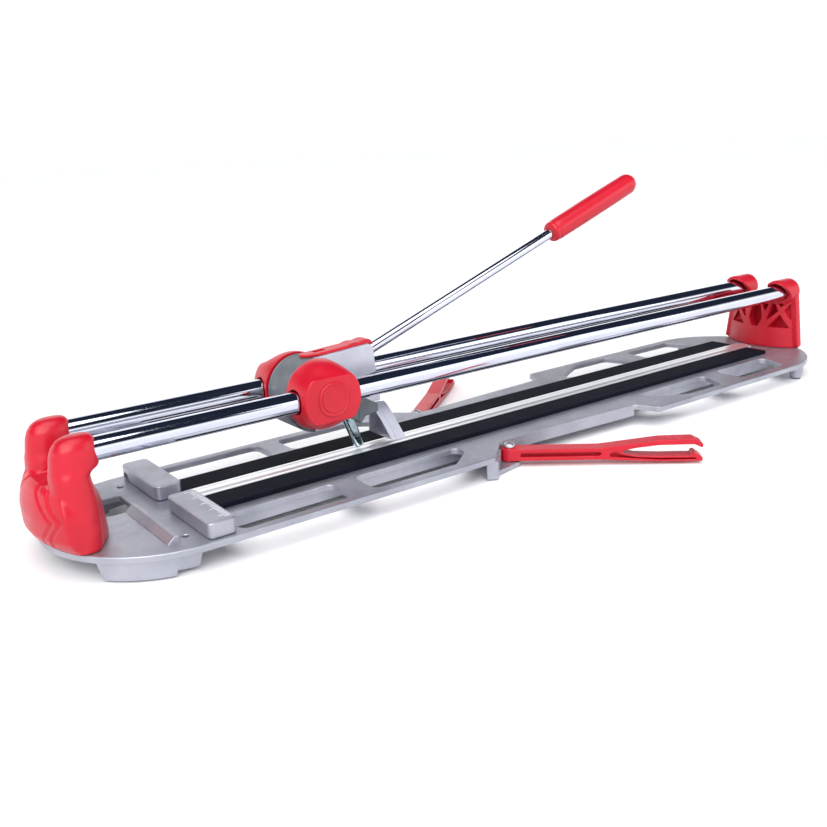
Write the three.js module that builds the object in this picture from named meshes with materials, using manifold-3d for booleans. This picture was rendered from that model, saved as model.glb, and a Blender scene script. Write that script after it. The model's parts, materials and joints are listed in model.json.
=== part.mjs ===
// Manual rail tile cutter, about 60 cm of cutting length.
// Millimetres, +Z up, +X along the guide bars from the fence end to the free end.
// Origin: middle of the length, centre plane of the bars, bench level.

import * as THREE from 'three';
import { mergeVertices } from 'three/addons/utils/BufferGeometryUtils.js';
import Module from 'manifold-3d';

const wasm = await Module();
wasm.setup();

// ---------------------------------------------------------------- driving dimensions

const GAP = 0.3;                       // clearance between pieces that touch
const OVER = 2;                        // how far a cutting tool runs past the face it cuts
const ROUND = 28;                      // facets round a turned part

const PLATE = {
  top: 18, thick: 4.6,
  nearX: -299, nearR: 76,              // fence end of the casting, a half circle
  farX: 303, farR: 79,                 // free end, a half circle
  waistX: -74, waistY: 78,             // outer corner where the arm recess starts
  recessNear: [-46, 51], recessFar: [99, 59],
  shoulder: [107, 78.5],
};
const PLATE_LOW = PLATE.top - PLATE.thick;

const RAIL = { z: 75.2, y: 23.9, r: 7.6, x0: -360, x1: 369 };
const PAD = { x0: -277.6, x1: 327, y0: 9.2, y1: 31.9, thick: 3.4 };
const RIB = { x0: -277.6, x1: 337, halfWidth: 8.6, edge: 3.2, crown: 3.8 };
const FENCE = { x0: -297, x1: -278, y0: 8.9, y1: 72.8, high: 10.4, corner: 4 };
const RIDGE = { x0: -320.5, x1: -311.5, y0: -62, y1: 7, high: 4.6 };
const END_SLOT = { x0: -331.5, x1: -311.4, y0: 7.4, y1: 40 };
const SPINE = { x0: -285, x1: 322, y0: 36, y1: 38.6, low: 6 };
const CROSS_RIBS = { at: [-285, -183, -78, 122, 225, 320], thick: 2.6, low: 8 };
const FOOT = { bottom: 0.6, nearR: 73, nearDepth: 15, farAt: [326, 67], farR: 6.5 };
const FOOT_PAD = { r: 4.6, seat: 2.2, nearAt: [-334.5, 55], farAt: [326, 67] };
const STUD = { r: 2.5, headR: 4.5, head: 3 };
const SUPPORT_BOLT = { nearX: -352, nearTop: 71, farX: 366.2, farTop: 34 };
const END_SCREW = { seatX: 372.3, length: 14 };
const FENCE_SCREW = { x: -287.5, y: 52, length: 12 };
const SIGHT_HOLE = { x: -305, y: 55, r: 2.2 };

const NEAR = {                         // end support on the fence side
  rimX: -341.5, hoodR: 11.3, footY: 44, innerX: -336, innerR: 50,
  layers: [                            // [top of layer, radius of its back, setback of its inner face]
    [24, 77, 0], [42, 83, 0], [56, 79.5, 6],
  ],
};
const FAR = {
  faceX: 354, innerR: 69, hoodR: 12.6, hoodX: 347.5, backR: 78, footY: 43, saddleZ: 72, pocketDepth: 12,
};

const CAR = { x: -182.5, z: RAIL.z };  // middle of the carriage and axis of the lever pivot
const ACROSS = 40;                     // half length of a tool that cuts right through the carriage
const HUB = { r: 24, halfWidth: 12.7 };
const HOUSING = { y0: 13.1, y1: 34.2, r: 20.5, flat: 14, boreR: 8.6 };
const BRIDGE = { r0: 25, r1: 27.6, x0: -24.5, x1: -4, z1: -12, cheek: 2.4 };
const COVER = { y0: 14, y1: 36.8, rearR: 25, faceR: 22.6, faceHigh: 16.4, faceLow: 16, barClear: 1.2 };
const CAP = { r: 12.2, thick: 0.9 };
const BUSH = { r: 9.2, bore: 7.9, length: 12, inset: 17.6 };
const PIN = { r: 4, halfLength: 15.2 };

const LEVER = {                        // distances along the lever from its pivot
  angle: 19.8, rodR: 4.1, rodStart: 31, rodEnd: 325, gripStart: 255, gripEnd: 361, gripR: 9, lip: 4,
};
const SET_SCREW_Z = -21.5;             // set screw of the scoring holder, below the lever line
const YOKE = { halfWidth: 7.4, x1: 56, low: 3.5, high: 26.6, slope: 2.6 };
const HOLDER = {
  along: 21.4, top: 2, taper: -37, bottom: -62.2, r: 4.9, tipR: 3.5, bossR: 8.6, bossLow: -25,
};
const WHEEL = { r: 4, halfThick: 0.9, hubR: 1.15, axleR: 1, clear: 0.4 };
const BREAKER = {                      // arch whose crown is nearer the pivot than its feet
  x0: 53.5, thick: 12.4, halfWidth: 15.6, low: -48.6, high: -21.5, lean: 0.28, wall: 3.6, recess: 9,
};
const BRACKET = { x0: 16, x1: 38, y: 8, low: -27, high: -8, screwR: 2, screwZ: -18 };

const ARM = {
  x: -44, y: 59, z0: 4, z1: 14, barrelR: 6.4, halfWidth: 6, angle: 40,
};
const EAR = { low: 0.2, high: ARM.z0 - GAP, r: 9 };

// ---------------------------------------------------------------- shape helpers

const rad = THREE.MathUtils.degToRad;

function solid(geometry) {
  const bare = geometry.index ? geometry.toNonIndexed() : geometry.clone();
  bare.deleteAttribute('normal');
  bare.deleteAttribute('uv');
  const merged = mergeVertices(bare, 1e-4);
  return new wasm.Manifold(new wasm.Mesh({
    numProp: 3,
    vertProperties: new Float32Array(merged.attributes.position.array),
    triVerts: new Uint32Array(merged.index.array),
  }));
}

function geometryOf(manifold) {
  const mesh = manifold.getMesh();
  const geometry = new THREE.BufferGeometry();
  geometry.setAttribute('position', new THREE.BufferAttribute(mesh.vertProperties, 3));
  geometry.setIndex(new THREE.BufferAttribute(mesh.triVerts, 1));
  return geometry;
}

function outline(points) {
  return new THREE.Shape(points.map(([a, b]) => new THREE.Vector2(a, b)));
}

function extrude(shape, depth, curveSegments) {
  return new THREE.ExtrudeGeometry(shape, { depth, bevelEnabled: false, curveSegments });
}

// A shape drawn in x and y, standing from zLow to zHigh.
function extrudeUp(shape, zLow, zHigh, curveSegments = 16) {
  return solid(extrude(shape, zHigh - zLow, curveSegments).translate(0, 0, zLow));
}

// A shape drawn in x and z, running from yLow to yHigh.
function extrudeAlongY(shape, yLow, yHigh, curveSegments = 16) {
  const turn = new THREE.Matrix4().makeBasis(
    new THREE.Vector3(1, 0, 0), new THREE.Vector3(0, 0, 1), new THREE.Vector3(0, -1, 0));
  return solid(extrude(shape, yHigh - yLow, curveSegments).applyMatrix4(turn).translate(0, yHigh, 0));
}

// A shape drawn in y and z, running from xLow to xHigh.
function extrudeAlongX(shape, xLow, xHigh, curveSegments = 16) {
  const turn = new THREE.Matrix4().makeBasis(
    new THREE.Vector3(0, 1, 0), new THREE.Vector3(0, 0, 1), new THREE.Vector3(1, 0, 0));
  return solid(extrude(shape, xHigh - xLow, curveSegments).applyMatrix4(turn).translate(xLow, 0, 0));
}

function box(x0, x1, y0, y1, z0, z1) {
  const geometry = new THREE.BoxGeometry(x1 - x0, y1 - y0, z1 - z0);
  return solid(geometry.translate((x0 + x1) / 2, (y0 + y1) / 2, (z0 + z1) / 2));
}

function rodX(r, x0, x1, y, z, facets = ROUND) {
  const geometry = new THREE.CylinderGeometry(r, r, x1 - x0, facets).rotateZ(-Math.PI / 2);
  return solid(geometry.translate((x0 + x1) / 2, y, z));
}

function rodY(r, y0, y1, x, z, facets = ROUND) {
  return solid(new THREE.CylinderGeometry(r, r, y1 - y0, facets).translate(x, (y0 + y1) / 2, z));
}

function rodZ(r, z0, z1, x, y, facets = ROUND) {
  const geometry = new THREE.CylinderGeometry(r, r, z1 - z0, facets).rotateX(Math.PI / 2);
  return solid(geometry.translate(x, y, (z0 + z1) / 2));
}

function cone(rLow, rHigh, z0, z1, x, y, facets = ROUND) {
  const geometry = new THREE.CylinderGeometry(rHigh, rLow, z1 - z0, facets).rotateX(Math.PI / 2);
  return solid(geometry.translate(x, y, (z0 + z1) / 2));
}

function mirrorY(manifold) {
  return manifold.mirror([0, 1, 0]);
}

function onBothSides(manifold) {
  return manifold.add(mirrorY(manifold));
}

// A cap screw standing head up on the surface z, its shank reaching down.
function capScrew(x, y, z, length, r = STUD.r, headR = STUD.headR, head = STUD.head) {
  const socket = rodZ(headR * 0.45, z + head * 0.4, z + head + OVER, x, y, 6);
  return rodZ(headR, z, z + head, x, y, 20).add(rodZ(r, z - length, z + 0.01, x, y, 14)).subtract(socket);
}

// ---------------------------------------------------------------- base casting

function plateOutline() {
  const p = PLATE;
  const shape = new THREE.Shape();
  shape.moveTo(p.nearX, -p.nearR);
  shape.lineTo(p.waistX, -p.waistY);
  shape.lineTo(p.recessNear[0], -p.recessNear[1]);
  shape.lineTo(p.recessFar[0], -p.recessFar[1]);
  shape.lineTo(p.shoulder[0], -p.shoulder[1]);
  shape.lineTo(p.farX, -p.farR);
  shape.absarc(p.farX, 0, p.farR, -Math.PI / 2, Math.PI / 2, false);
  shape.lineTo(p.shoulder[0], p.shoulder[1]);
  shape.lineTo(p.recessFar[0], p.recessFar[1]);
  shape.lineTo(p.recessNear[0], p.recessNear[1]);
  shape.lineTo(p.waistX, p.waistY);
  shape.lineTo(p.nearX, p.nearR);
  shape.absarc(p.nearX, 0, p.nearR, Math.PI / 2, 3 * Math.PI / 2, false);
  return shape;
}

// The four windows of one side, as [x, y] corners.
const WINDOWS = [
  [[-274, 41], [-191.5, 41], [-191.5, 70], [-274, 70]],
  [[-174, 41], [-82, 41], [-82, 52], [-104, 69], [-174, 69]],
  [[125, 41], [216, 41], [204, 70], [161, 70], [125, 51]],
  [[235, 39.5], [311, 39.5], [299, 69], [235, 69]],
];

function windowCutters() {
  return WINDOWS.map((points) => onBothSides(
    extrudeUp(outline(points), PLATE_LOW - OVER, PLATE.top + OVER)));
}

// Block under the fence end that follows the rim, between two angles from the -X direction.
function arcFoot(r, depth, fromAngle, toAngle, low) {
  const start = Math.PI + rad(fromAngle);
  const end = Math.PI + rad(toAngle);
  const shape = new THREE.Shape();
  shape.absarc(PLATE.nearX, 0, r, start, end, false);
  shape.absarc(PLATE.nearX, 0, r - depth, end, start, true);
  return extrudeUp(shape, low, PLATE_LOW + 1);
}

function armEar() {
  const wall = outline([[-72, 78], [-46, 53], [-44, 50], [-50, 46], [-80, 74]]);
  const shelf = outline([[-68, 72], [-50, 69], [-40, 66], [-40, 50], [-50, 50], [-66, 66]]);
  return extrudeUp(wall, EAR.low, PLATE_LOW + 1)
    .subtract(rodZ(ARM.barrelR + 1, EAR.high, PLATE.top, ARM.x, ARM.y))
    .add(extrudeUp(shelf, EAR.low, EAR.high))
    .add(rodZ(EAR.r, EAR.low, EAR.high, ARM.x, ARM.y))
    .subtract(rodZ(STUD.r + GAP, EAR.low - OVER, EAR.high + OVER, ARM.x, ARM.y, 14));
}

// Raised measuring ridge across the fence end, with a sloping face towards the end support.
function ridge() {
  const { x0, x1, y0, y1, high } = RIDGE;
  const foot = PLATE.top - 0.5;
  const top = PLATE.top + high;
  return extrudeAlongY(outline([[x0, foot], [x0 + 6, top], [x1, top], [x1, foot]]), y0, y1);
}

function plateHole(x, y, r) {
  return onBothSides(rodZ(r, FOOT.bottom, PLATE.top + OVER, x, y, 14));
}

function padSeat([x, y]) {
  return onBothSides(rodZ(FOOT_PAD.r + GAP, -OVER, FOOT_PAD.seat + GAP, x, y, 20));
}

function recessWall() {
  const [x0, y0] = PLATE.recessNear;
  const [x1, y1] = PLATE.recessFar;
  const wall = outline([[x0, y0 - 2.4], [x1, y1 - 2.4], [x1, y1], [x0, y0]]);
  return extrudeUp(wall, CROSS_RIBS.low, PLATE_LOW + 1);
}

function basePlate() {
  const { x0, x1, y0, y1 } = END_SLOT;
  let plate = extrudeUp(plateOutline(), PLATE_LOW, PLATE.top, 24);
  for (const cutter of windowCutters()) plate = plate.subtract(cutter);
  plate = plate
    .subtract(box(x0, x1, y0, y1, PLATE_LOW - OVER, PLATE.top + OVER))
    .add(ridge())
    .add(onBothSides(box(SPINE.x0, SPINE.x1, SPINE.y0, SPINE.y1, SPINE.low, PLATE_LOW + 1)))
    .add(onBothSides(recessWall()))
    .add(onBothSides(arcFoot(FOOT.nearR, FOOT.nearDepth, 39, 75, FOOT.bottom)))
    .add(onBothSides(arcFoot(FOOT.nearR - 2.5, FOOT.nearDepth - 2, 74, 87, FOOT.bottom + 2)))
    .add(onBothSides(cone(FOOT.farR - 0.8, FOOT.farR, FOOT.bottom, PLATE_LOW + 1, ...FOOT.farAt)))
    .add(onBothSides(armEar()));
  const half = CROSS_RIBS.thick / 2;
  for (const x of CROSS_RIBS.at) {
    plate = plate.add(box(x - half, x + half, -SPINE.y0, SPINE.y0, CROSS_RIBS.low, PLATE_LOW + 1));
  }
  return plate
    .subtract(plateHole(SIGHT_HOLE.x, SIGHT_HOLE.y, SIGHT_HOLE.r))
    .subtract(plateHole(FENCE_SCREW.x, FENCE_SCREW.y, STUD.r + GAP))
    .subtract(plateHole(SUPPORT_BOLT.nearX, RAIL.y, STUD.r + GAP))
    .subtract(plateHole(SUPPORT_BOLT.farX, RAIL.y, STUD.r + GAP))
    .subtract(padSeat(FOOT_PAD.nearAt))
    .subtract(padSeat(FOOT_PAD.farAt));
}

// ---------------------------------------------------------------- tile bed and fence

function tilePad() {
  const low = PLATE.top + GAP;
  return box(PAD.x0, PAD.x1, PAD.y0, PAD.y1, low, PLATE.top + PAD.thick);
}

function breakingRib() {
  const low = PLATE.top + GAP;
  const w = RIB.halfWidth;
  const profile = outline([
    [-w, low], [w, low], [w, PLATE.top + RIB.edge], [w * 0.3, PLATE.top + RIB.crown],
    [-w * 0.3, PLATE.top + RIB.crown], [-w, PLATE.top + RIB.edge],
  ]);
  return extrudeAlongX(profile, RIB.x0, RIB.x1);
}

function footPad([x, y]) {
  return rodZ(FOOT_PAD.r, 0, FOOT_PAD.seat, x, y, 20);
}

function roundedRectangle(x0, x1, y0, y1, r) {
  const shape = new THREE.Shape();
  shape.absarc(x1 - r, y0 + r, r, -Math.PI / 2, 0, false);
  shape.absarc(x1 - r, y1 - r, r, 0, Math.PI / 2, false);
  shape.absarc(x0 + r, y1 - r, r, Math.PI / 2, Math.PI, false);
  shape.absarc(x0 + r, y0 + r, r, Math.PI, 3 * Math.PI / 2, false);
  return shape;
}

function fenceBlock() {
  const f = FENCE;
  const body = roundedRectangle(f.x0, f.x1, f.y0, f.y1, f.corner);
  const hole = rodZ(STUD.r + GAP, 0, PLATE_LOW + FENCE_SCREW.length, FENCE_SCREW.x, FENCE_SCREW.y, 14);
  return extrudeUp(body, PLATE.top + GAP, PLATE.top + f.high, 5).subtract(hole);
}

// ---------------------------------------------------------------- end supports

// Cross-section of the two hooded towers seen along the bars, down to the plate.
function towerSection(hoodR, footY, low) {
  const shape = new THREE.Shape();
  shape.moveTo(RAIL.y - hoodR, low);
  shape.lineTo(footY, low);
  shape.lineTo(RAIL.y + hoodR, RAIL.z - 8);
  shape.lineTo(RAIL.y + hoodR, RAIL.z);
  shape.absarc(RAIL.y, RAIL.z, hoodR, 0, Math.PI, false);
  return shape;
}

function nearTower() {
  const x = NEAR.rimX;
  const side = outline([
    [x - 5, PLATE.top + GAP], [x - 4, 30], [x - 6, 62], [x - 4, 63.5], [x + 0.5, 65.5],
    [x + 0.5, 76], [x - 3, 86.5], [x - 15, 86.6], [x - 22, 82.5], [x - 26.5, 76],
    [x - 29.5, 66], [x - 31, 52], [x - 31, PLATE.top + GAP],
  ]);
  return extrudeAlongY(side, RAIL.y - 30, RAIL.y + 30)
    .intersect(extrudeAlongX(towerSection(NEAR.hoodR, NEAR.footY, PLATE.top + GAP), x - 40, x + 5));
}

// Crescent in plan: round towards the end of the plate, bowed towards the tile on its inner face.
function crescent(end, innerCentreX, low, high) {
  const round = rodZ(end.backR, low, high, end.centreX, 0, 56);
  const inner = rodZ(end.innerR, low - OVER, high + OVER, innerCentreX, 0, 56);
  const middle = (end.centreX + innerCentreX) / 2;
  const reach = end.backR + end.innerR;
  const clip = box(middle - reach, middle + reach, -end.footY, end.footY, low - OVER, high + OVER);
  return round.intersect(inner).intersect(clip);
}

function boltHole(x, top) {
  return onBothSides(rodZ(STUD.r + GAP, 0, top + GAP, x, RAIL.y, 14));
}

function nearSupport() {
  const n = NEAR;
  let body = onBothSides(nearTower());
  let low = PLATE.top + GAP;
  for (const [high, backR, setback] of n.layers) {
    const end = { centreX: PLATE.nearX, backR, innerR: n.innerR, footY: n.footY };
    body = body.add(crescent(end, n.innerX - setback - n.innerR, low, high));
    low = high - 1;
  }
  return body
    .subtract(onBothSides(rodX(RAIL.r + GAP, RAIL.x0 - GAP, n.rimX + 10, RAIL.y, RAIL.z)))
    .subtract(boltHole(SUPPORT_BOLT.nearX, SUPPORT_BOLT.nearTop));
}

// Moulded triangular recesses in the bar side of the free-end support, as [y, z] corners.
const TRUSS = [
  [[6.6, 62], [9.6, 54], [13.4, 62.4]],
  [[11.4, 44.6], [22.6, 55.4], [19.2, 63], [16.2, 63]],
  [[21.6, 63.2], [24.6, 59], [27.6, 63.4]],
  [[13.4, 38.4], [33.4, 38.6], [24.2, 52]],
  [[27.4, 56], [34.6, 45], [32.4, 64]],
];
const MIDDLE_POCKET = [[-3.6, 38.2], [3.6, 38.2], [7.6, 47], [4.8, 61], [-4.8, 61], [-7.6, 47]];

function pocket(points) {
  return extrudeAlongX(outline(points), FAR.faceX - OVER, FAR.faceX + FAR.pocketDepth);
}

function farSupport() {
  const f = FAR;
  const base = PLATE.top + GAP;
  const end = { centreX: PLATE.farX, backR: f.backR, innerR: f.innerR, footY: f.footY };
  const wall = crescent(end, f.faceX + f.innerR, base, f.saddleZ);
  const towers = extrudeAlongX(towerSection(f.hoodR, f.footY, base), f.faceX + 4, PLATE.farX + f.backR + OVER)
    .intersect(rodZ(f.backR, base - OVER, 100, PLATE.farX, 0, 56));
  const hood = rodX(f.hoodR, f.hoodX, f.faceX + 6, RAIL.y, RAIL.z)
    .subtract(box(f.hoodX - OVER, f.faceX + 8, 0, 60, 0, RAIL.z + 3));
  let body = wall.add(onBothSides(towers)).add(onBothSides(hood))
    .subtract(onBothSides(rodX(RAIL.r + GAP, f.hoodX - OVER, RAIL.x1 + GAP, RAIL.y, RAIL.z)))
    .subtract(onBothSides(rodX(STUD.r + GAP, RAIL.x1, END_SCREW.seatX + OVER, RAIL.y, RAIL.z, 14)))
    .subtract(onBothSides(rodX(STUD.headR + GAP, END_SCREW.seatX, f.faceX + f.backR, RAIL.y, RAIL.z, 20)))
    .subtract(pocket(MIDDLE_POCKET))
    .subtract(boltHole(SUPPORT_BOLT.farX, SUPPORT_BOLT.farTop));
  for (const points of TRUSS) body = body.subtract(onBothSides(pocket(points)));
  return body;
}

// Bar with a cross hole for the bolt at its fence end and a hole in its free end for the end screw.
function guideBar() {
  const { nearX, nearTop } = SUPPORT_BOLT;
  return rodX(RAIL.r, RAIL.x0, RAIL.x1, RAIL.y, RAIL.z, 32)
    .subtract(rodZ(STUD.r + GAP, RAIL.z - RAIL.r - OVER, nearTop + GAP, nearX, RAIL.y, 14))
    .subtract(rodX(STUD.r + GAP, endScrewTip() - GAP, RAIL.x1 + OVER, RAIL.y, RAIL.z, 14));
}

function endScrewTip() {
  return END_SCREW.seatX + GAP - END_SCREW.length;
}

// Screw through the free-end support into the end of a bar.
function endScrew() {
  return capScrew(0, 0, 0, END_SCREW.length)
    .rotate([0, 90, 0])
    .translate([END_SCREW.seatX + GAP, RAIL.y, RAIL.z]);
}

// Bolt driven up from under the plate into a support.
function supportBolt(x, top) {
  const seat = PLATE_LOW - GAP;
  return screwFromBelow(x, RAIL.y, top - seat);
}

function screwFromBelow(x, y, length) {
  return capScrew(0, 0, 0, length).rotate([180, 0, 0]).translate([x, y, PLATE_LOW - GAP]);
}

// ---------------------------------------------------------------- carriage

// Curved strap below the hub, with a cheek at each end, that ties the two housings together.
function bridge(grow) {
  const b = BRIDGE;
  const reach = HOUSING.y0 + b.cheek + grow;
  const space = HOUSING.y0 - grow;
  return rodY(b.r1 + grow, -reach, reach, 0, 0, 36)
    .subtract(rodY(b.r0 - grow, -space, space, 0, 0, 36))
    .intersect(box(b.x0 - grow, b.x1 + grow, -reach, reach, -b.r1 - OVER, b.z1 + grow))
    .translate([CAR.x, 0, CAR.z]);
}

function housingBlock(grow) {
  const h = HOUSING;
  const y0 = h.y0 - 2 * grow;
  const side = drumSection(h.r + grow, h.flat + grow, h.flat + grow);
  return side.scale([1, h.y1 + grow - y0, 1]).translate([CAR.x, y0, CAR.z]);
}

function carriageFrame() {
  const seatEnd = BUSH.inset - BUSH.length - GAP;
  return onBothSides(housingBlock(0))
    .add(bridge(0))
    .subtract(onBothSides(rodX(HOUSING.boreR, CAR.x - ACROSS, CAR.x + ACROSS, RAIL.y, RAIL.z)))
    .subtract(onBothSides(bushSeat(CAR.x - ACROSS, CAR.x - seatEnd)))
    .subtract(onBothSides(bushSeat(CAR.x + seatEnd, CAR.x + ACROSS)))
    .subtract(rodY(PIN.r + GAP, -PIN.halfLength - GAP, PIN.halfLength + GAP, CAR.x, CAR.z));
}

function bushSeat(x0, x1) {
  return rodX(BUSH.r + GAP, x0, x1, RAIL.y, RAIL.z);
}

function drumSection(r, flatHigh, flatLow) {
  return rodY(r, 0, 1, 0, 0, 48).intersect(box(-r - 1, r + 1, -1, 2, -flatLow, flatHigh));
}

// Domed cover over one side of the carriage, open towards the hub.
function carriageCover() {
  const c = COVER;
  const slices = 4;
  let body = null;
  for (let i = 0; i < slices; i += 1) {
    const t = i / (slices - 1);
    const y0 = c.y0 + (c.y1 - c.y0) * (i / slices);
    const y1 = i === slices - 1 ? c.y1 : c.y0 + (c.y1 - c.y0) * ((i + 1) / slices) + 0.01;
    const r = THREE.MathUtils.lerp(c.rearR, c.faceR, t * t);
    const high = THREE.MathUtils.lerp(c.rearR, c.faceHigh, t * t);
    const low = THREE.MathUtils.lerp(c.rearR, c.faceLow, t * t);
    const slice = drumSection(r, high, low).scale([1, y1 - y0, 1]).translate([CAR.x, y0, CAR.z]);
    body = body ? body.add(slice) : slice;
  }
  return body
    .subtract(housingBlock(GAP))
    .subtract(bridge(GAP))
    .subtract(rodX(RAIL.r + c.barClear, CAR.x - ACROSS, CAR.x + ACROSS, RAIL.y, RAIL.z));
}

function coverCap() {
  const y = COVER.y1 + GAP;
  return rodY(CAP.r, y, y + CAP.thick, CAR.x, CAR.z, 32);
}

function bush(x0) {
  return rodX(BUSH.r, x0, x0 + BUSH.length, RAIL.y, RAIL.z)
    .subtract(rodX(BUSH.bore, x0 - OVER, x0 + BUSH.length + OVER, RAIL.y, RAIL.z));
}

function pivotPin() {
  return rodY(PIN.r, -PIN.halfLength, PIN.halfLength, CAR.x, CAR.z);
}

// ---------------------------------------------------------------- lever head
// Drawn about the pivot, x away from it towards the free end, z up, lever at rest.

function atPivot(manifold) {
  return manifold.translate([CAR.x, 0, CAR.z]);
}

function tilted(manifold) {
  return manifold.rotate([0, -LEVER.angle, 0]);
}

function leverHead() {
  const y = YOKE;
  const k = BRACKET;
  const side = outline([
    [0, y.low - 8], [y.x1, y.low], [y.x1 - 2, y.high - 4], [y.x1 - 6, y.high],
    [0, y.high - y.slope], [-4, y.high - y.slope - 6],
  ]);
  const head = rodY(HUB.r, -HUB.halfWidth, HUB.halfWidth, 0, 0, 44)
    .add(extrudeAlongY(side, -y.halfWidth, y.halfWidth))
    .add(tilted(rodZ(HOLDER.bossR, HOLDER.bossLow, 4, HOLDER.along, 0)))
    .add(box(k.x0, k.x1, -k.y, k.y, k.low, k.high));
  return atPivot(head
    .subtract(rodY(PIN.r + GAP, -ACROSS, ACROSS, 0, 0))
    .subtract(tilted(rodX(LEVER.rodR + GAP, LEVER.rodStart - GAP, 90, 0, 0)))
    .subtract(tilted(rodZ(HOLDER.r + GAP, -60, HOLDER.top + GAP, HOLDER.along, 0)))
    .subtract(rodX(k.screwR + GAP, k.x1 - 2.5, k.x1 + OVER, 0, k.screwZ, 12))
    .subtract(tilted(rodX(k.screwR + GAP, 0, HOLDER.along, 0, SET_SCREW_Z, 12))));
}

function leverTrim() {
  const y = YOKE;
  const top = outline([
    [0, y.high - y.slope + GAP], [y.x1 - 5.6, y.high + GAP], [y.x1 - 2.3, y.high - 3],
    [y.x1 - 1.8, y.high - 1.4], [y.x1 - 6, y.high + 2.2], [30, y.high + 1.6], [24, y.high + 0.6],
    [0, y.high - 0.4],
  ]);
  const slot = box(10, 20, -2.5, 2.5, 20, 40);
  return atPivot(extrudeAlongY(top, -y.halfWidth + 1.2, y.halfWidth - 1.2).subtract(slot));
}

function leverRod() {
  return atPivot(tilted(rodX(LEVER.rodR, LEVER.rodStart, LEVER.rodEnd, 0, 0, 20)));
}

// Round grip with domed ends, turned about the rod's axis.
function grip() {
  const { gripStart, gripEnd, gripR, lip, rodR, rodEnd } = LEVER;
  const bore = rodR + GAP;
  const profile = new THREE.Path();
  profile.moveTo(bore, gripStart);
  profile.lineTo(gripR - lip, gripStart);
  profile.absarc(gripR - lip, gripStart + lip, lip, -Math.PI / 2, 0, false);
  profile.absarc(0, gripEnd - gripR, gripR, 0, Math.PI / 2, false);
  profile.lineTo(0, rodEnd + GAP);
  profile.lineTo(bore, rodEnd + GAP);
  profile.lineTo(bore, gripStart);
  const lathe = new THREE.LatheGeometry(profile.getPoints(7), 24);
  return atPivot(tilted(solid(lathe.rotateZ(-Math.PI / 2))));
}

function scoringHolder() {
  const h = HOLDER;
  const gap = WHEEL.halfThick + GAP;
  const turned = cone(h.tipR, h.r, h.bottom, h.taper, h.along, 0)
    .add(rodZ(h.r, h.taper - 0.01, h.top, h.along, 0));
  const slot = box(h.along - 8, h.along + 8, -gap, gap, h.bottom - OVER, wheelDrop() + WHEEL.r + 1);
  const axleHole = rodY(WHEEL.axleR + GAP, -10, 10, h.along, wheelDrop());
  return atPivot(tilted(turned.subtract(slot).subtract(axleHole)));
}

// Distance of the wheel's centre below the lever line, so that it just clears the rib at rest.
function wheelDrop() {
  const centre = PLATE.top + RIB.crown + WHEEL.clear + WHEEL.r - CAR.z;
  return (centre - HOLDER.along * Math.sin(rad(LEVER.angle))) / Math.cos(rad(LEVER.angle));
}

function scoringWheel() {
  const w = WHEEL;
  const bore = w.hubR + GAP / 2;
  const profile = new THREE.Path();
  profile.moveTo(bore, -w.halfThick);
  profile.lineTo(w.r - 1, -w.halfThick);
  profile.lineTo(w.r, 0);
  profile.lineTo(w.r - 1, w.halfThick);
  profile.lineTo(bore, w.halfThick);
  profile.lineTo(bore, -w.halfThick);
  const lathe = new THREE.LatheGeometry(profile.getPoints(), 24);
  return atPivot(tilted(solid(lathe).translate([HOLDER.along, 0, wheelDrop()])));
}

function wheelAxle() {
  return atPivot(tilted(rodY(WHEEL.axleR, -HOLDER.tipR + GAP, HOLDER.tipR - GAP, HOLDER.along, wheelDrop(), 12)));
}

// Narrow arch in y and z; its sides fall away faster than a round arch's do.
function archShape(halfWidth, low, high) {
  const bend = 1.45;
  const steps = 24;
  const points = [];
  for (let i = 0; i <= steps; i += 1) {
    const across = Math.cos(Math.PI * i / steps);
    points.push([halfWidth * across, low + (high - low) * (1 - Math.abs(across) ** bend)]);
  }
  return outline(points);
}

// Arched foot that straddles the scored line, hollowed on the side towards the wheel.
function breakerFoot() {
  const b = BREAKER;
  const k = BRACKET;
  const hollow = archShape(b.halfWidth - b.wall, b.low + 2, b.high - b.wall);
  const lean = new THREE.Matrix4().makeShear(0, 0, 0, 0, -b.lean, 0).setPosition(b.x0 + b.lean * b.high, 0, 0);
  const arch = extrudeAlongX(archShape(b.halfWidth, b.low, b.high), 0, b.thick)
    .subtract(extrudeAlongX(hollow, -OVER, b.recess))
    .transform(lean.elements);
  const stemY = k.y - 1;
  const stem = box(k.x1 + GAP, b.x0 + 5, -stemY, stemY, k.low, b.high - 1);
  const crown = box(k.x1 + 9, b.x0 + 6, -stemY, stemY, b.high - 4, k.high - 4.6);
  const arm = box(k.x1 + GAP, k.x1 + 12, -stemY, stemY, k.low, k.high - 5);
  return atPivot(arch.add(stem).add(crown).add(arm)
    .subtract(rodX(k.screwR + GAP, k.x1, k.x1 + 10, 0, k.screwZ, 12)));
}

function breakerScrew() {
  const k = BRACKET;
  return atPivot(rodX(k.screwR, k.x1 - 2, k.x1 + 9, 0, k.screwZ, 12));
}

function holderSetScrew() {
  const gap = HOLDER.r + GAP;
  const outer = HOLDER.along - HOLDER.bossR;
  return atPivot(tilted(rodX(BRACKET.screwR, outer + 0.4, HOLDER.along - gap, 0, SET_SCREW_Z, 12)));
}

// ---------------------------------------------------------------- folding side arms
// Drawn along x from the pivot, then turned outwards.

function armProfile() {
  return outline([
    [0, 4.5], [68, 4.4], [112, 2.2], [144, 2], [144, 4.8], [138.6, 8.6], [136.4, 8.2], [136, 6.2],
    [112, 6.2], [95, 7], [86, 8.6], [84, 10], [86, 11.4], [95, 13.2], [112, 15], [137.4, 15.2],
    [141.4, 13.4], [144, 12], [144, 15.6], [137, 19.6], [112, 19.2], [68, 13.6], [0, 13.5],
  ]);
}

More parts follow.
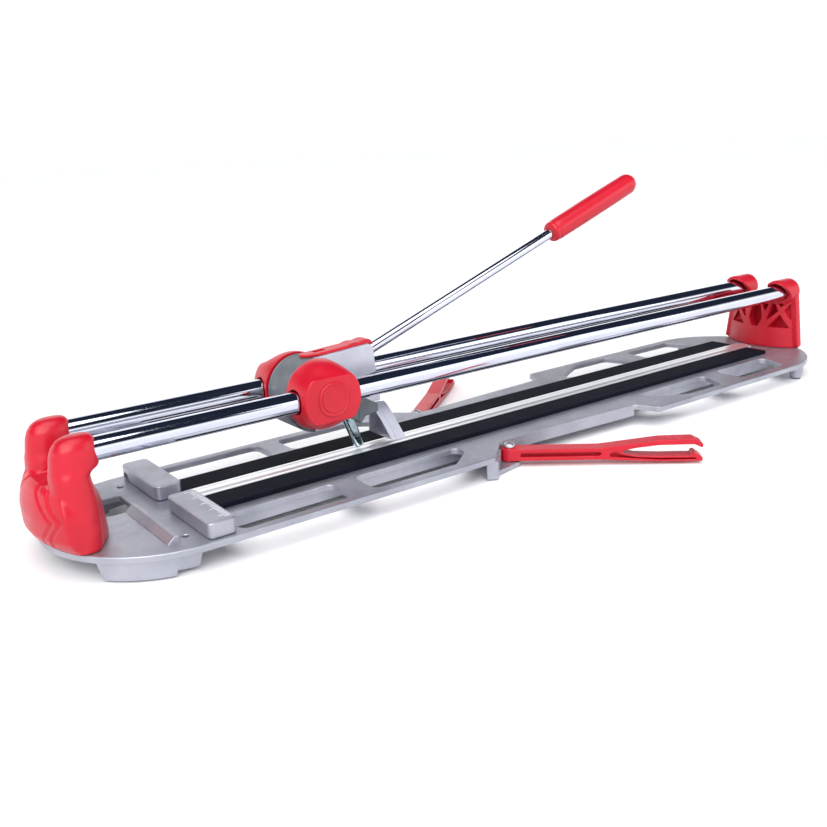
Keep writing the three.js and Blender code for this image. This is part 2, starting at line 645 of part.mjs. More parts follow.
function sideArm() {
  return extrudeAlongY(armProfile(), -ARM.halfWidth, ARM.halfWidth)
    .add(rodZ(ARM.barrelR, ARM.z0, ARM.z1, 0, 0, 24))
    .subtract(box(-10, 0, -10, 10, 0, 20).subtract(rodZ(ARM.barrelR, 0, 20, 0, 0, 24)))
    .subtract(rodZ(STUD.r + GAP, 0, 20, 0, 0, 14))
    .rotate([0, 0, ARM.angle])
    .translate([ARM.x, ARM.y, 0]);
}

function armScrew() {
  return capScrew(ARM.x, ARM.y, ARM.z1 + GAP, ARM.z1 - 0.6);
}

// ---------------------------------------------------------------- materials

function finish(color, roughness, metalness) {
  return () => new THREE.MeshStandardMaterial({ color, roughness, metalness });
}

const castAluminium = finish(0xa4a7c0, 0.5, 0.7);
const machined = finish(0xe4e6ee, 0.3, 0.8);
const navyRubber = finish(0x0b0d1a, 0.75, 0);
const redPlastic = finish(0xe2262c, 0.3, 0);
const chrome = finish(0xd9dde6, 0.08, 1);
const steel = finish(0x9fb4bd, 0.2, 1);
const darkCast = finish(0x5d6068, 0.55, 0.5);
const zinc = finish(0xc3c6cc, 0.35, 1);
const blackPlastic = finish(0x1b1b1f, 0.5, 0);

// ---------------------------------------------------------------- assembly

const group = new THREE.Group();

function add(name, manifold, material) {
  const mesh = new THREE.Mesh(geometryOf(manifold), material());
  mesh.name = name;
  group.add(mesh);
}

// The same piece on the operator's side (front, -Y) and on the other side (back, +Y).
function addPair(name, manifold, material) {
  add(`front_${name}`, mirrorY(manifold), material);
  add(`back_${name}`, manifold, material);
}

add('base_plate', basePlate(), castAluminium);
add('breaking_rib', breakingRib(), machined);
addPair('tile_pad', tilePad(), navyRubber);
addPair('fence_block', fenceBlock(), castAluminium);
add('near_support', nearSupport(), redPlastic);
add('far_support', farSupport(), redPlastic);
addPair('guide_bar', guideBar(), chrome);
addPair('near_support_bolt', supportBolt(SUPPORT_BOLT.nearX, SUPPORT_BOLT.nearTop), zinc);
addPair('far_support_bolt', supportBolt(SUPPORT_BOLT.farX, SUPPORT_BOLT.farTop), zinc);
addPair('bar_end_screw', endScrew(), zinc);
addPair('fence_screw', screwFromBelow(FENCE_SCREW.x, FENCE_SCREW.y, FENCE_SCREW.length), zinc);
addPair('near_foot_pad', footPad(FOOT_PAD.nearAt), blackPlastic);
addPair('far_foot_pad', footPad(FOOT_PAD.farAt), blackPlastic);

add('carriage_frame', carriageFrame(), darkCast);
addPair('carriage_cover', carriageCover(), redPlastic);
addPair('cover_cap', coverCap(), redPlastic);
addPair('near_bush', bush(CAR.x - BUSH.inset), blackPlastic);
addPair('far_bush', bush(CAR.x + BUSH.inset - BUSH.length), blackPlastic);
add('lever_pivot_pin', pivotPin(), steel);

add('lever_head', leverHead(), castAluminium);
add('lever_trim', leverTrim(), redPlastic);
add('lever_rod', leverRod(), chrome);
add('lever_grip', grip(), redPlastic);
add('scoring_holder', scoringHolder(), steel);
add('wheel_axle', wheelAxle(), steel);
add('scoring_wheel', scoringWheel(), steel);
add('breaker_foot', breakerFoot(), castAluminium);
add('breaker_screw', breakerScrew(), zinc);
add('holder_set_screw', holderSetScrew(), zinc);

addPair('side_arm', sideArm(), redPlastic);
addPair('arm_screw', armScrew(), zinc);

export default group;
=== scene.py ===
import json
import math

import bmesh
import bpy
from mathutils import Matrix, Vector

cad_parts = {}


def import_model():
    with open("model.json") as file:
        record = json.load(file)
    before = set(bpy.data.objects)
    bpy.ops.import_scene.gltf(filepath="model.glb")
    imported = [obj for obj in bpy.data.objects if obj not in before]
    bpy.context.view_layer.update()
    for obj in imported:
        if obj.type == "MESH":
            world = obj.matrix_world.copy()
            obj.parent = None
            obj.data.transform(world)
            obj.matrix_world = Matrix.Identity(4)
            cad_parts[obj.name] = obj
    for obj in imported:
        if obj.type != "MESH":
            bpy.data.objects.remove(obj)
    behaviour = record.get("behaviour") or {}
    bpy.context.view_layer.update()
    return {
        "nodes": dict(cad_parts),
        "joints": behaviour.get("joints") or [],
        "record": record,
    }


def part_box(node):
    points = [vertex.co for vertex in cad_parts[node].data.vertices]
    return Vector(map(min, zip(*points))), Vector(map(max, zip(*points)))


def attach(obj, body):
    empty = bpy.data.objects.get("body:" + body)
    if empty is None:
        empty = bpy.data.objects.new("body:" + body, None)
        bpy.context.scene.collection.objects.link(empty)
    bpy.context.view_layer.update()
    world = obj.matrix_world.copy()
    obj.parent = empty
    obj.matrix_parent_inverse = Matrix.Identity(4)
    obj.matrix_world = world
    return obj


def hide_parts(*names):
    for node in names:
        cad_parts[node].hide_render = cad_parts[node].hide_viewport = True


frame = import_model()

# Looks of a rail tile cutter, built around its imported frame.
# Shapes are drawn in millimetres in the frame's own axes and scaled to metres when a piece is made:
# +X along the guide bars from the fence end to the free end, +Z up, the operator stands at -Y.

MM = 0.001


def box_mm(node):
    low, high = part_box(node)
    return low / MM, high / MM


def centre_mm(node):
    low, high = box_mm(node)
    return (low + high) / 2


def joint(name):
    return next(j for j in frame["joints"] if j["name"] == name)


# ---------------------------------------------------------------- places taken from the frame

PLATE_LOW, PLATE_HIGH = box_mm("base_plate")
BAR_LOW, BAR_HIGH = box_mm("back_guide_bar")
BAR = centre_mm("back_guide_bar")
BAR_R = (BAR_HIGH.z - BAR_LOW.z) / 2
PIVOT = Vector(joint("lever_pivot")["pos_m"]) / MM
ARM_PIVOT = Vector(joint("back_arm_swing")["pos_m"]) / MM
NEAR_LOW, NEAR_HIGH = box_mm("near_support")
FAR_LOW, FAR_HIGH = box_mm("far_support")
COVER_LOW, COVER_HIGH = box_mm("back_carriage_cover")
FENCE_LOW, FENCE_HIGH = box_mm("back_fence_block")
PAD_LOW, PAD_HIGH = box_mm("back_tile_pad")
RIB_LOW, RIB_HIGH = box_mm("breaking_rib")

# ---------------------------------------------------------------- sizes, millimetres

PLATE_TOP = 18.0
PLATE_THICK = 4.6
PLATE_EDGE = 0.9                       # rounding of the casting's edges
NEAR_R = 76.0                          # plan radius of the plate's fence end
FAR_R = 79.0
LEVER_TILT = math.radians(19.8)


# ---------------------------------------------------------------- outlines

def rounded(points, radius, steps=5):
    """A closed outline with each corner turned into an arc; radius is one number or one per corner."""
    radii = radius if hasattr(radius, "__len__") else [radius] * len(points)
    result = []
    for i, point in enumerate(points):
        here = Vector(point)
        before = Vector(points[i - 1]) - here
        after = Vector(points[(i + 1) % len(points)]) - here
        if radii[i] <= 0:
            result.append(here)
            continue
        half = before.angle(after) / 2
        reach = min(radii[i] / math.tan(half), before.length * 0.49, after.length * 0.49)
        r = reach * math.tan(half)
        a = here + before.normalized() * reach
        b = here + after.normalized() * reach
        bisector = (before.normalized() + after.normalized()).normalized()
        centre = here + bisector * (r / math.sin(half))
        start, end = a - centre, b - centre
        turn = start.angle_signed(end)
        for k in range(steps + 1):
            angle = -turn * k / steps
            spin = Matrix.Rotation(angle, 2)
            result.append(centre + spin @ start)
    return result


def circle(x, y, r, steps=32):
    return [Vector((x + r * math.cos(math.tau * i / steps), y + r * math.sin(math.tau * i / steps)))
            for i in range(steps)]


def arc(x, y, r, start, end, steps=24):
    """Points from one angle to another, in degrees, end points included."""
    angles = [math.radians(start + (end - start) * i / steps) for i in range(steps + 1)]
    return [Vector((x + r * math.cos(a), y + r * math.sin(a))) for a in angles]


def flipped(points):
    """The same outline mirrored in its second coordinate."""
    return [Vector((p[0], -p[1])) for p in points]


# ---------------------------------------------------------------- mesh helpers

PLANES = {
    "xy": Matrix(((1, 0, 0), (0, 1, 0), (0, 0, 1))),
    "xz": Matrix(((1, 0, 0), (0, 0, -1), (0, 1, 0))),
    "yz": Matrix(((0, 0, 1), (1, 0, 0), (0, 1, 0))),
}


def scratch(mesh):
    thing = bpy.data.objects.new("scratch", mesh)
    bpy.context.scene.collection.objects.link(thing)
    return thing


def baked(thing):
    """The object's mesh with its modifiers applied; the object goes."""
    bpy.context.view_layer.update()
    graph = bpy.context.evaluated_depsgraph_get()
    mesh = bpy.data.meshes.new_from_object(thing.evaluated_get(graph))
    bpy.data.objects.remove(thing)
    return mesh


def slab(loops, low, high, edge=0.8, plane="xy", steps=2):
    """A plate of the given outline, the later loops being holes, with rounded edges."""
    curve = bpy.data.curves.new("slab", "CURVE")
    curve.dimensions = "2D"
    curve.fill_mode = "BOTH"
    curve.extrude = (high - low) / 2 - edge
    curve.bevel_depth = edge
    curve.bevel_resolution = steps
    curve.offset = -edge
    for loop in loops:
        spline = curve.splines.new("POLY")
        spline.points.add(len(loop) - 1)
        for point, place in zip(spline.points, loop):
            point.co = (place[0], place[1], 0, 1)
        spline.use_cyclic_u = True
    mesh = baked(scratch(curve))
    bpy.data.curves.remove(curve)
    turn = PLANES[plane].to_4x4()
    middle = (low + high) / 2
    lift = {"xy": (0, 0, middle), "xz": (0, middle, 0), "yz": (middle, 0, 0)}[plane]
    mesh.transform(Matrix.Translation(lift) @ turn)
    return welded(mesh)


def welded(mesh, distance=1e-3):
    bm = bmesh.new()
    bm.from_mesh(mesh)
    bmesh.ops.remove_doubles(bm, verts=bm.verts, dist=distance)
    bmesh.ops.recalc_face_normals(bm, faces=bm.faces)
    bm.to_mesh(mesh)
    bm.free()
    return mesh


def lofted(rings):
    """A closed skin through rings of equally many points, flat at both ends."""
    bm = bmesh.new()
    rows = [[bm.verts.new(p) for p in ring] for ring in rings]
    count = len(rows[0])
    for a, b in zip(rows, rows[1:]):
        for i in range(count):
            j = (i + 1) % count
            bm.faces.new((a[i], a[j], b[j], b[i]))
    bm.faces.new(list(reversed(rows[0])))
    bm.faces.new(rows[-1])
    bmesh.ops.recalc_face_normals(bm, faces=bm.faces)
    mesh = bpy.data.meshes.new("loft")
    bm.to_mesh(mesh)
    bm.free()
    return mesh


def turned(profile, axis, centre, steps=64):
    """A solid of revolution: profile is (radius, distance along the axis) pairs, outside to inside."""
    turn = {"x": Matrix.Rotation(math.pi / 2, 3, "Y"), "y": Matrix.Rotation(-math.pi / 2, 3, "X"),
            "z": Matrix.Identity(3)}[axis]
    rings = []
    for r, along in profile:
        ring = [Vector((r * math.cos(math.tau * i / steps), r * math.sin(math.tau * i / steps), along))
                for i in range(steps)]
        rings.append([turn @ p + Vector(centre) for p in ring])
    return lofted(rings)


def rod_profile(r, start, end, edge=0.6, steps=4):
    """Profile of a plain rod with rounded ends."""
    quarter = [math.pi / 2 * i / steps for i in range(steps + 1)]
    first = [(r - edge + edge * math.sin(a), start + edge - edge * math.cos(a)) for a in quarter]
    last = [(r - edge + edge * math.cos(a), end - edge + edge * math.sin(a)) for a in quarter]
    return first + last


def joined(*meshes):
    bm = bmesh.new()
    for mesh in meshes:
        bm.from_mesh(mesh)
        bpy.data.meshes.remove(mesh)
    mesh = bpy.data.meshes.new("joined")
    bm.to_mesh(mesh)
    bm.free()
    return mesh


def mirrored(mesh):
    """A copy of the mesh on the other side of the cutter's middle plane."""
    copy = mesh.copy()
    copy.transform(Matrix.Scale(-1, 4, (0, 1, 0)))
    copy.flip_normals()
    return copy


def both_sides(mesh):
    return joined(mirrored(mesh), mesh)


def remeshed(mesh, voxel, smoothing):
    """The union of the mesh's shells as one skin whose edges are blended, like a moulding's."""
    thing = scratch(mesh)
    remesh = thing.modifiers.new("remesh", "REMESH")
    remesh.mode = "VOXEL"
    remesh.voxel_size = voxel
    if smoothing:
        smooth = thing.modifiers.new("smooth", "SMOOTH")
        smooth.factor = 0.5
        smooth.iterations = smoothing
    return baked(thing)


def cut(mesh, *tools):
    """The mesh with the tool shapes taken away."""
    thing = scratch(mesh)
    helpers = []
    for tool in tools:
        helper = scratch(tool)
        helpers.append(helper)
        difference = thing.modifiers.new("cut", "BOOLEAN")
        difference.operation = "DIFFERENCE"
        difference.solver = "EXACT"
        difference.object = helper
    mesh = baked(thing)
    for helper in helpers:
        bpy.data.objects.remove(helper)
    return mesh


def block(x0, x1, y0, y1, z0, z1, edge=0.4):
    return slab([rounded([(x0, y0), (x1, y0), (x1, y1), (x0, y1)], edge)], z0, z1, edge)


def tilted(mesh):
    """Turns a mesh drawn about the pivot along +X into the lever's resting direction, and places it."""
    mesh.transform(Matrix.Translation(PIVOT) @ Matrix.Rotation(-LEVER_TILT, 4, "Y"))
    return mesh


def at_pivot(mesh):
    mesh.transform(Matrix.Translation(PIVOT))
    return mesh


def piece(name, mesh, body, material, slot, *nodes, sharp=38):
    """Makes the finished object: metres, shading, material, and what it rides on and stands for."""
    mesh.name = name
    mesh.transform(Matrix.Scale(MM, 4))
    for polygon in mesh.polygons:
        polygon.use_smooth = True
    mesh.set_sharp_from_angle(angle=math.radians(sharp))
    mesh.materials.clear()
    mesh.materials.append(material)
    thing = bpy.data.objects.new(name, mesh)
    bpy.context.scene.collection.objects.link(thing)
    normals = thing.modifiers.new("flat faces stay flat", "WEIGHTED_NORMAL")
    normals.keep_sharp = True
    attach(thing, body)
    if nodes:
        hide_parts(*nodes)
    return thing


def pair(name, mesh, body, material, slot, *nodes, sharp=38):
    """The same piece on both sides: the back one as drawn, the front one mirrored."""
    front = mirrored(mesh)
    bodies = body if isinstance(body, dict) else {"front": body, "back": body}
    for side, shape in (("front", front), ("back", mesh)):
        stands_for = [f"{side}_{node}" for node in nodes]
        piece(f"{side}_{name}", shape, bodies[side], material, slot, *stands_for, sharp=sharp)


# ---------------------------------------------------------------- materials

class Shader:
    """A Principled material and short ways to wire textures into it."""

    def __init__(self, name, color, roughness, metallic, **sockets):
        self.material = bpy.data.materials.new(name)
        self.material.use_nodes = True
        self.tree = self.material.node_tree
        self.bsdf = self.tree.nodes["Principled BSDF"]
        self.bsdf.inputs["Base Color"].default_value = (*color, 1)
        self.bsdf.inputs["Roughness"].default_value = roughness
        self.bsdf.inputs["Metallic"].default_value = metallic
        for socket, value in sockets.items():
            self.bsdf.inputs[socket.replace("_", " ")].default_value = value
        self.place = self.tree.nodes.new("ShaderNodeTexCoord").outputs["Object"]
        self.height = None

    def stretched(self, scale):
        mapping = self.tree.nodes.new("ShaderNodeMapping")
        mapping.inputs["Scale"].default_value = scale
        self.tree.links.new(self.place, mapping.inputs["Vector"])
        return mapping.outputs["Vector"]

    def noise(self, size, detail=4.0, stretch=(1, 1, 1)):
        """Noise whose features are about size metres across."""
        node = self.tree.nodes.new("ShaderNodeTexNoise")
        node.inputs["Scale"].default_value = 1 / size
        node.inputs["Detail"].default_value = detail
        self.tree.links.new(self.stretched(stretch), node.inputs["Vector"])
        return node.outputs["Fac"]

    def ramp(self, value, low, high, low_color, high_color):
        node = self.tree.nodes.new("ShaderNodeValToRGB")
        node.color_ramp.elements[0].position = low
        node.color_ramp.elements[1].position = high
        node.color_ramp.elements[0].color = (*low_color, 1)
        node.color_ramp.elements[1].color = (*high_color, 1)
        self.tree.links.new(value, node.inputs["Fac"])
        return node.outputs["Color"]

    def spread(self, value, low, high, to_low, to_high):
        node = self.tree.nodes.new("ShaderNodeMapRange")
        node.inputs["From Min"].default_value = low
        node.inputs["From Max"].default_value = high
        node.inputs["To Min"].default_value = to_low
        node.inputs["To Max"].default_value = to_high
        self.tree.links.new(value, node.inputs["Value"])
        return node.outputs["Result"]

    def color(self, output):
        self.tree.links.new(output, self.bsdf.inputs["Base Color"])

    def roughness(self, output):
        self.tree.links.new(output, self.bsdf.inputs["Roughness"])

    def bump(self, value, depth, strength=1.0):
        node = self.tree.nodes.new("ShaderNodeBump")
        node.inputs["Distance"].default_value = depth
        node.inputs["Strength"].default_value = strength
        self.tree.links.new(value, node.inputs["Height"])
        if self.height is not None:
            self.tree.links.new(self.height, node.inputs["Normal"])
        self.height = node.outputs["Normal"]
        self.tree.links.new(self.height, self.bsdf.inputs["Normal"])


def cast_aluminium(name="cast_aluminium", dark=(0.34, 0.35, 0.41), light=(0.47, 0.48, 0.54)):
    """Satin die casting: cloudy tone, fine grain, and a few pits."""
    s = Shader(name, light, 0.42, 0.82)
    clouds = s.noise(0.035)
    grain = s.noise(0.0009, 6.0)
    s.color(s.ramp(clouds, 0.32, 0.68, dark, light))
    s.roughness(s.spread(s.noise(0.004, 5.0), 0.3, 0.7, 0.36, 0.52))
    s.bump(grain, 0.00012, 0.55)
    s.bump(s.noise(0.006, 3.0), 0.0003, 0.35)
    return s.material


def bright_aluminium():
    """Extruded rail, drawn along X: long fine streaks."""
    s = Shader("bright_aluminium", (0.9, 0.9, 0.92), 0.3, 0.85)
    streaks = s.noise(0.0012, 5.0, (0.02, 1, 1))
    s.color(s.ramp(streaks, 0.35, 0.65, (0.88, 0.88, 0.91), (0.95, 0.95, 0.97)))
    s.roughness(s.spread(streaks, 0.3, 0.7, 0.28, 0.36))
    s.bump(streaks, 0.00001, 0.2)
    return s.material


def navy_rubber():
    """Non-slip strip: near black with a fine pebble grain and a little dust."""
    s = Shader("navy_rubber", (0.003, 0.004, 0.010), 0.75, 0.0, Specular_IOR_Level=0.1)
    dust = s.noise(0.02, 6.0)
    s.color(s.ramp(dust, 0.4, 0.75, (0.0025, 0.0035, 0.009), (0.006, 0.008, 0.018)))
    s.roughness(s.spread(dust, 0.3, 0.7, 0.7, 0.85))
    s.bump(s.noise(0.0007, 3.0), 0.00008, 0.5)
    return s.material


def red_plastic():
    """Moulded plastic, half gloss, with a faint orange peel and rub marks in the gloss."""
    s = Shader("red_plastic", (0.53, 0.006, 0.022), 0.32, 0.0, Specular_IOR_Level=0.4)
    s.color(s.ramp(s.noise(0.05), 0.3, 0.7, (0.48, 0.005, 0.018), (0.57, 0.007, 0.026)))
    s.roughness(s.spread(s.noise(0.012, 4.0), 0.3, 0.75, 0.29, 0.38))
    s.bump(s.noise(0.0022, 1.0), 0.00002, 0.25)
    return s.material


def chrome():
    """Hard chrome: mirror bright, with hairlines round the bar that only roughen it a little."""
    s = Shader("chrome", (0.68, 0.70, 0.80), 0.06, 1.0)
    hairs = s.noise(0.0008, 4.0, (1, 0.05, 0.05))
    s.color(s.ramp(s.noise(0.03), 0.3, 0.7, (0.64, 0.66, 0.76), (0.72, 0.74, 0.83)))
    s.roughness(s.spread(hairs, 0.35, 0.75, 0.04, 0.11))
    return s.material


def tool_steel():
    s = Shader("tool_steel", (0.45, 0.58, 0.62), 0.2, 1.0)
    rings = s.noise(0.0006, 4.0, (0.1, 0.1, 1))
    s.color(s.ramp(s.noise(0.005), 0.3, 0.7, (0.36, 0.52, 0.57), (0.58, 0.68, 0.71)))
    s.roughness(s.spread(rings, 0.3, 0.7, 0.14, 0.3))
    s.bump(rings, 0.00003, 0.3)
    return s.material


def grey_paint():
    """Mid-grey textured paint of the hub and the carriage casting."""
    s = Shader("grey_paint", (0.13, 0.145, 0.165), 0.5, 0.25)
    s.color(s.ramp(s.noise(0.012), 0.3, 0.7, (0.115, 0.13, 0.15), (0.17, 0.185, 0.205)))
    s.roughness(s.spread(s.noise(0.003, 5.0), 0.3, 0.7, 0.42, 0.6))
    s.bump(s.noise(0.0011, 3.0), 0.00008, 0.5)
    return s.material


def zinc():
    s = Shader("zinc", (0.6, 0.61, 0.64), 0.34, 1.0)
    s.color(s.ramp(s.noise(0.002), 0.3, 0.7, (0.5, 0.51, 0.55), (0.68, 0.69, 0.71)))
    s.roughness(s.spread(s.noise(0.0008, 5.0), 0.3, 0.7, 0.26, 0.46))
    s.bump(s.noise(0.0005, 3.0), 0.00003, 0.4)
    return s.material


def black_plastic():
    s = Shader("black_plastic", (0.02, 0.02, 0.023), 0.5, 0.0)
    s.color(s.ramp(s.noise(0.004), 0.3, 0.7, (0.016, 0.016, 0.019), (0.03, 0.03, 0.034)))
    s.roughness(s.spread(s.noise(0.002, 5.0), 0.3, 0.7, 0.42, 0.6))
    s.bump(s.noise(0.0006, 3.0), 0.00005, 0.4)
    return s.material


def tick_paint():
    s = Shader("tick_paint", (0.8, 0.81, 0.84), 0.5, 0.1)
    s.color(s.ramp(s.noise(0.001, 5.0), 0.35, 0.6, (0.62, 0.63, 0.68), (0.88, 0.88, 0.9)))
    s.bump(s.noise(0.0005), 0.00003, 0.4)
    return s.material


ALUMINIUM = cast_aluminium()
LIGHT_CASTING = cast_aluminium("light_casting", (0.50, 0.51, 0.60), (0.64, 0.65, 0.72))
BRIGHT = bright_aluminium()
RUBBER = navy_rubber()
RED = red_plastic()
CHROME = chrome()
TOOL_STEEL = tool_steel()
GREY = grey_paint()
ZINC = zinc()
BLACK = black_plastic()
TICKS = tick_paint()

# ---------------------------------------------------------------- base casting

RECESS = {"outer": (-74, 78), "near": (-46, 51), "far": (99, 59), "shoulder": (107, 78.5)}
WINDOWS = [
    [(-274, 41), (-191.5, 41), (-191.5, 70), (-274, 70)],
    [(-174, 41), (-82, 41), (-82, 52), (-104, 69), (-174, 69)],
    [(125, 41), (216, 41), (204, 70), (161, 70), (125, 51)],
    [(235, 39.5), (311, 39.5), (299, 69), (235, 69)],
]
WINDOW_CORNER = 5.5
END_SLOT = [(-331.5, 7.4), (-311.4, 7.4), (-311.4, 40), (-331.5, 40)]
RIDGE = {"x0": -320.5, "x1": -311.5, "y0": -62, "y1": 7, "high": 4.6}
SIGHT_HOLE = (-305, 55, 2.2)
SPINE = {"x0": -285, "x1": 322, "y0": 36, "y1": 38.6, "low": 6}
CROSS_RIBS = [-285, -183, -78, 122, 225, 320]
NEAR_FOOT = {"r": 73, "depth": 15, "start": 39, "middle": 75, "end": 87}
FAR_FOOT = (326, 67, 6.5)


def plate_outline():
    near_x = PLATE_LOW.x + NEAR_R
    far_x = PLATE_HIGH.x - FAR_R
    side = [RECESS["outer"], RECESS["near"], RECESS["far"], RECESS["shoulder"]]
    front = rounded([(near_x, -NEAR_R)] + [(x, -y) for x, y in side] + [(far_x, -FAR_R)],
                    [0, 7, 9, 6, 5, 0])
    end = arc(far_x, 0, FAR_R, -90, 90, 48)[1:-1]
    back = [Vector((p[0], -p[1])) for p in reversed(front)]
    start = arc(near_x, 0, NEAR_R, 90, 270, 48)[1:-1]
    return front + end + back + start


def base_casting():
    loops = [plate_outline(), rounded(END_SLOT, 3)]
    for window in WINDOWS:
        loop = rounded(window, WINDOW_CORNER)
        loops += [loop, flipped(loop)]
    x, y, r = SIGHT_HOLE
    loops += [circle(x, y, r, 20), circle(x, -y, r, 20)]
    plate = slab(loops, PLATE_TOP - PLATE_THICK, PLATE_TOP, PLATE_EDGE, steps=3)
    return joined(plate, ridge(), under_ribs(), near_feet(), far_feet(), arm_ears())


def ridge():
    """Low measuring ridge whose long face slopes down towards the end support."""
    r = RIDGE
    foot = PLATE_TOP - 0.6
    top = PLATE_TOP + r["high"]
    section = rounded([(r["x0"], foot), (r["x0"] + 6, top), (r["x1"], top), (r["x1"], foot)], 0.7)
    return slab([section], r["y0"], r["y1"], 0.5, "xz")


def under_ribs():
    top = PLATE_TOP - PLATE_THICK + 0.6
    s = SPINE
    parts = []
    for y0, y1 in ((s["y0"], s["y1"]), (-s["y1"], -s["y0"])):
        parts.append(block(s["x0"], s["x1"], y0, y1, s["low"], top))
    for x in CROSS_RIBS:
        parts.append(block(x - 1.3, x + 1.3, -s["y0"], s["y0"], s["low"] + 2, top))
    (x0, y0), (x1, y1) = RECESS["near"], RECESS["far"]
    wall = slab([rounded([(x0 + 2, y0 - 2.4), (x1, y1 - 2.4), (x1, y1), (x0 + 2, y0)], 0.5)], 8, top, 0.4)
    parts.append(both_sides(wall))
    return joined(*parts)


def near_feet():
    """Curved foot blocks that follow the rim, tapered a little towards the bench."""
    f = NEAR_FOOT
    centre = PLATE_LOW.x + NEAR_R

    def portion(r, depth, start, end, low):
        rings = []
        for z, inset in ((low, 1.6), (low + 0.9, 0.7), (PLATE_TOP - PLATE_THICK + 0.6, -1.2)):
            outer = arc(centre, 0, r - inset, 180 + start + inset, 180 + end - inset, 22)
            inner = arc(centre, 0, r - depth + inset, 180 + end - inset, 180 + start + inset, 22)
            rings.append([Vector((p.x, p.y, z)) for p in outer + inner])
        return lofted(rings)

    low = PLATE_LOW.z + 0.4
    first = portion(f["r"], f["depth"], f["start"], f["middle"], low)
    second = portion(f["r"] - 2.5, f["depth"] - 2, f["middle"] - 2, f["end"], low + 2)
    return both_sides(joined(first, second))


def far_feet():
    x, y, r = FAR_FOOT
    low = PLATE_LOW.z + 0.4
    top = PLATE_TOP - PLATE_THICK + 0.6
    profile = [(r - 2.2, low), (r - 1.4, low + 0.35), (r - 1, low + 1.1), (r, top - 1.5), (r + 1.2, top)]
    return both_sides(turned(profile, "z", (x, y, 0), 40))


def arm_ears():
    """Lug under the plate that carries each side arm, with the slanted wall behind it."""
    top = PLATE_TOP - PLATE_THICK + 0.6
    low = PLATE_LOW.z
    x, y = ARM_PIVOT.x, ARM_PIVOT.y
    wall = slab([rounded([(-72, 78), (-51.5, 58.5), (-50, 50), (-54, 50), (-80, 74)], 1)], low, top, 0.5)
    shelf_outline = rounded([(-68, 72), (-50, 69), (-38, 66), (-36, 50), (-50, 50), (-66, 66)], 4)
    shelf = slab([shelf_outline], low, low + 3.4, 0.6)
    lug = turned(rod_profile(9, low, low + 3.45, 0.8), "z", (x, y, 0), 48)
    return both_sides(joined(wall, shelf, lug))


# ---------------------------------------------------------------- tile bed and fence

def breaking_rib():
    """Bright rail: raised crown with a fine groove along each side of it."""
    low, high = RIB_LOW.z, RIB_HIGH.z
    w = RIB_HIGH.y
    half = [(w, low), (w, high - 0.6), (w * 0.62, high - 0.45), (w * 0.56, high - 0.9), (w * 0.5, high - 0.4),
            (w * 0.3, high)]
    section = half + [(-y, z) for y, z in reversed(half)]
    return slab([rounded(section, 0.25, 3)], RIB_LOW.x, RIB_HIGH.x, 0.25, "yz")


def tile_pad():
    """Rubber strip with softened long edges."""
    low, high = PAD_LOW, PAD_HIGH
    section = [(low.y, low.z), (high.y, low.z), (high.y, high.z), (low.y, high.z)]
    return slab([rounded(section, [0.2, 0.2, 0.9, 0.9])], low.x, high.x, 0.2, "yz", 2)


def fence_block(undercut):
    low, high = FENCE_LOW, FENCE_HIGH
    corners = [(low.x, low.y), (high.x, low.y), (high.x, high.y), (low.x, high.y)]
    mesh = slab([rounded(corners, 4, 6)], low.z, high.z, 1.1, steps=3)
    if not undercut:
        return mesh
    hollow = turned(rod_profile(5.2, low.x - 4, low.x + 9, 0.3), "x", (0, high.y - 8, low.z + 0.5), 40)
    return cut(mesh, hollow)


def fence_ticks():
    """Plain scale marks along the bed edge of the operator's block, each one a raised line."""
    spacing = 2.5
    count = 22
    top = FENCE_HIGH.z
    edge = FENCE_HIGH.x - 1.4
    marks = []
    for i in range(count):
        y = -FENCE_LOW.y - 5 - spacing * i
        length = 7 if i % 5 == 0 else 4
        marks.append(block(edge - length, edge, y - 0.38, y + 0.38, top - 0.3, top + 0.15, 0.1))
    return joined(*marks)


# ---------------------------------------------------------------- end supports

NEAR_LIP = 5.0                         # how far the lobes' front lip stands back from the crescent


def tower(rings, sides=48, power=2.6):
    """Loft of superellipse rings given as (z, x from, x to, y from, y to)."""
    shapes = []
    for z, x0, x1, y0, y1 in rings:
        ring = []
        for i in range(sides):
            angle = math.tau * i / sides
            c, s = math.cos(angle), math.sin(angle)
            u = math.copysign(abs(c) ** (2 / power), c)
            v = math.copysign(abs(s) ** (2 / power), s)
            ring.append(Vector(((x0 + x1) / 2 + u * (x1 - x0) / 2, (y0 + y1) / 2 + v * (y1 - y0) / 2, z)))
        shapes.append(ring)
    return lofted(shapes)


def near_tower():
    """Hooded lobe over one bar: bulged behind, its front leg set back under the hood."""
    rim = NEAR_HIGH.x + 0.4 - NEAR_LIP
    foot = NEAR_LOW.z
    y = BAR.y
    return tower([
        (foot, rim - 29, rim - 6.5, y - 17, 43.6), (foot + 10, rim - 30, rim - 5.5, y - 17, 43.2),
        (foot + 22, rim - 31, rim - 5.4, y - 16, 41.6), (foot + 34, rim - 31, rim - 6, y - 14, 39.0),
        (foot + 44, rim - 30.4, rim - 7.4, y - 12.6, 37.0), (foot + 46.5, rim - 30, rim - 5, y - 12, 36.2),
        (foot + 48.5, rim - 29.6, rim - 0.8, y - 11.6, 35.6), (foot + 56, rim - 28.6, rim, y - 11, 34.9),
        (foot + 61, rim - 27, rim - 0.4, y - 10, 33.8), (foot + 65, rim - 24, rim - 1.6, y - 8, 31.8),
        (foot + 67.2, rim - 20, rim - 3.4, y - 5.6, 29.4), (foot + 68, rim - 16, rim - 6, y - 2.8, 26.6),
    ], power=2.3)


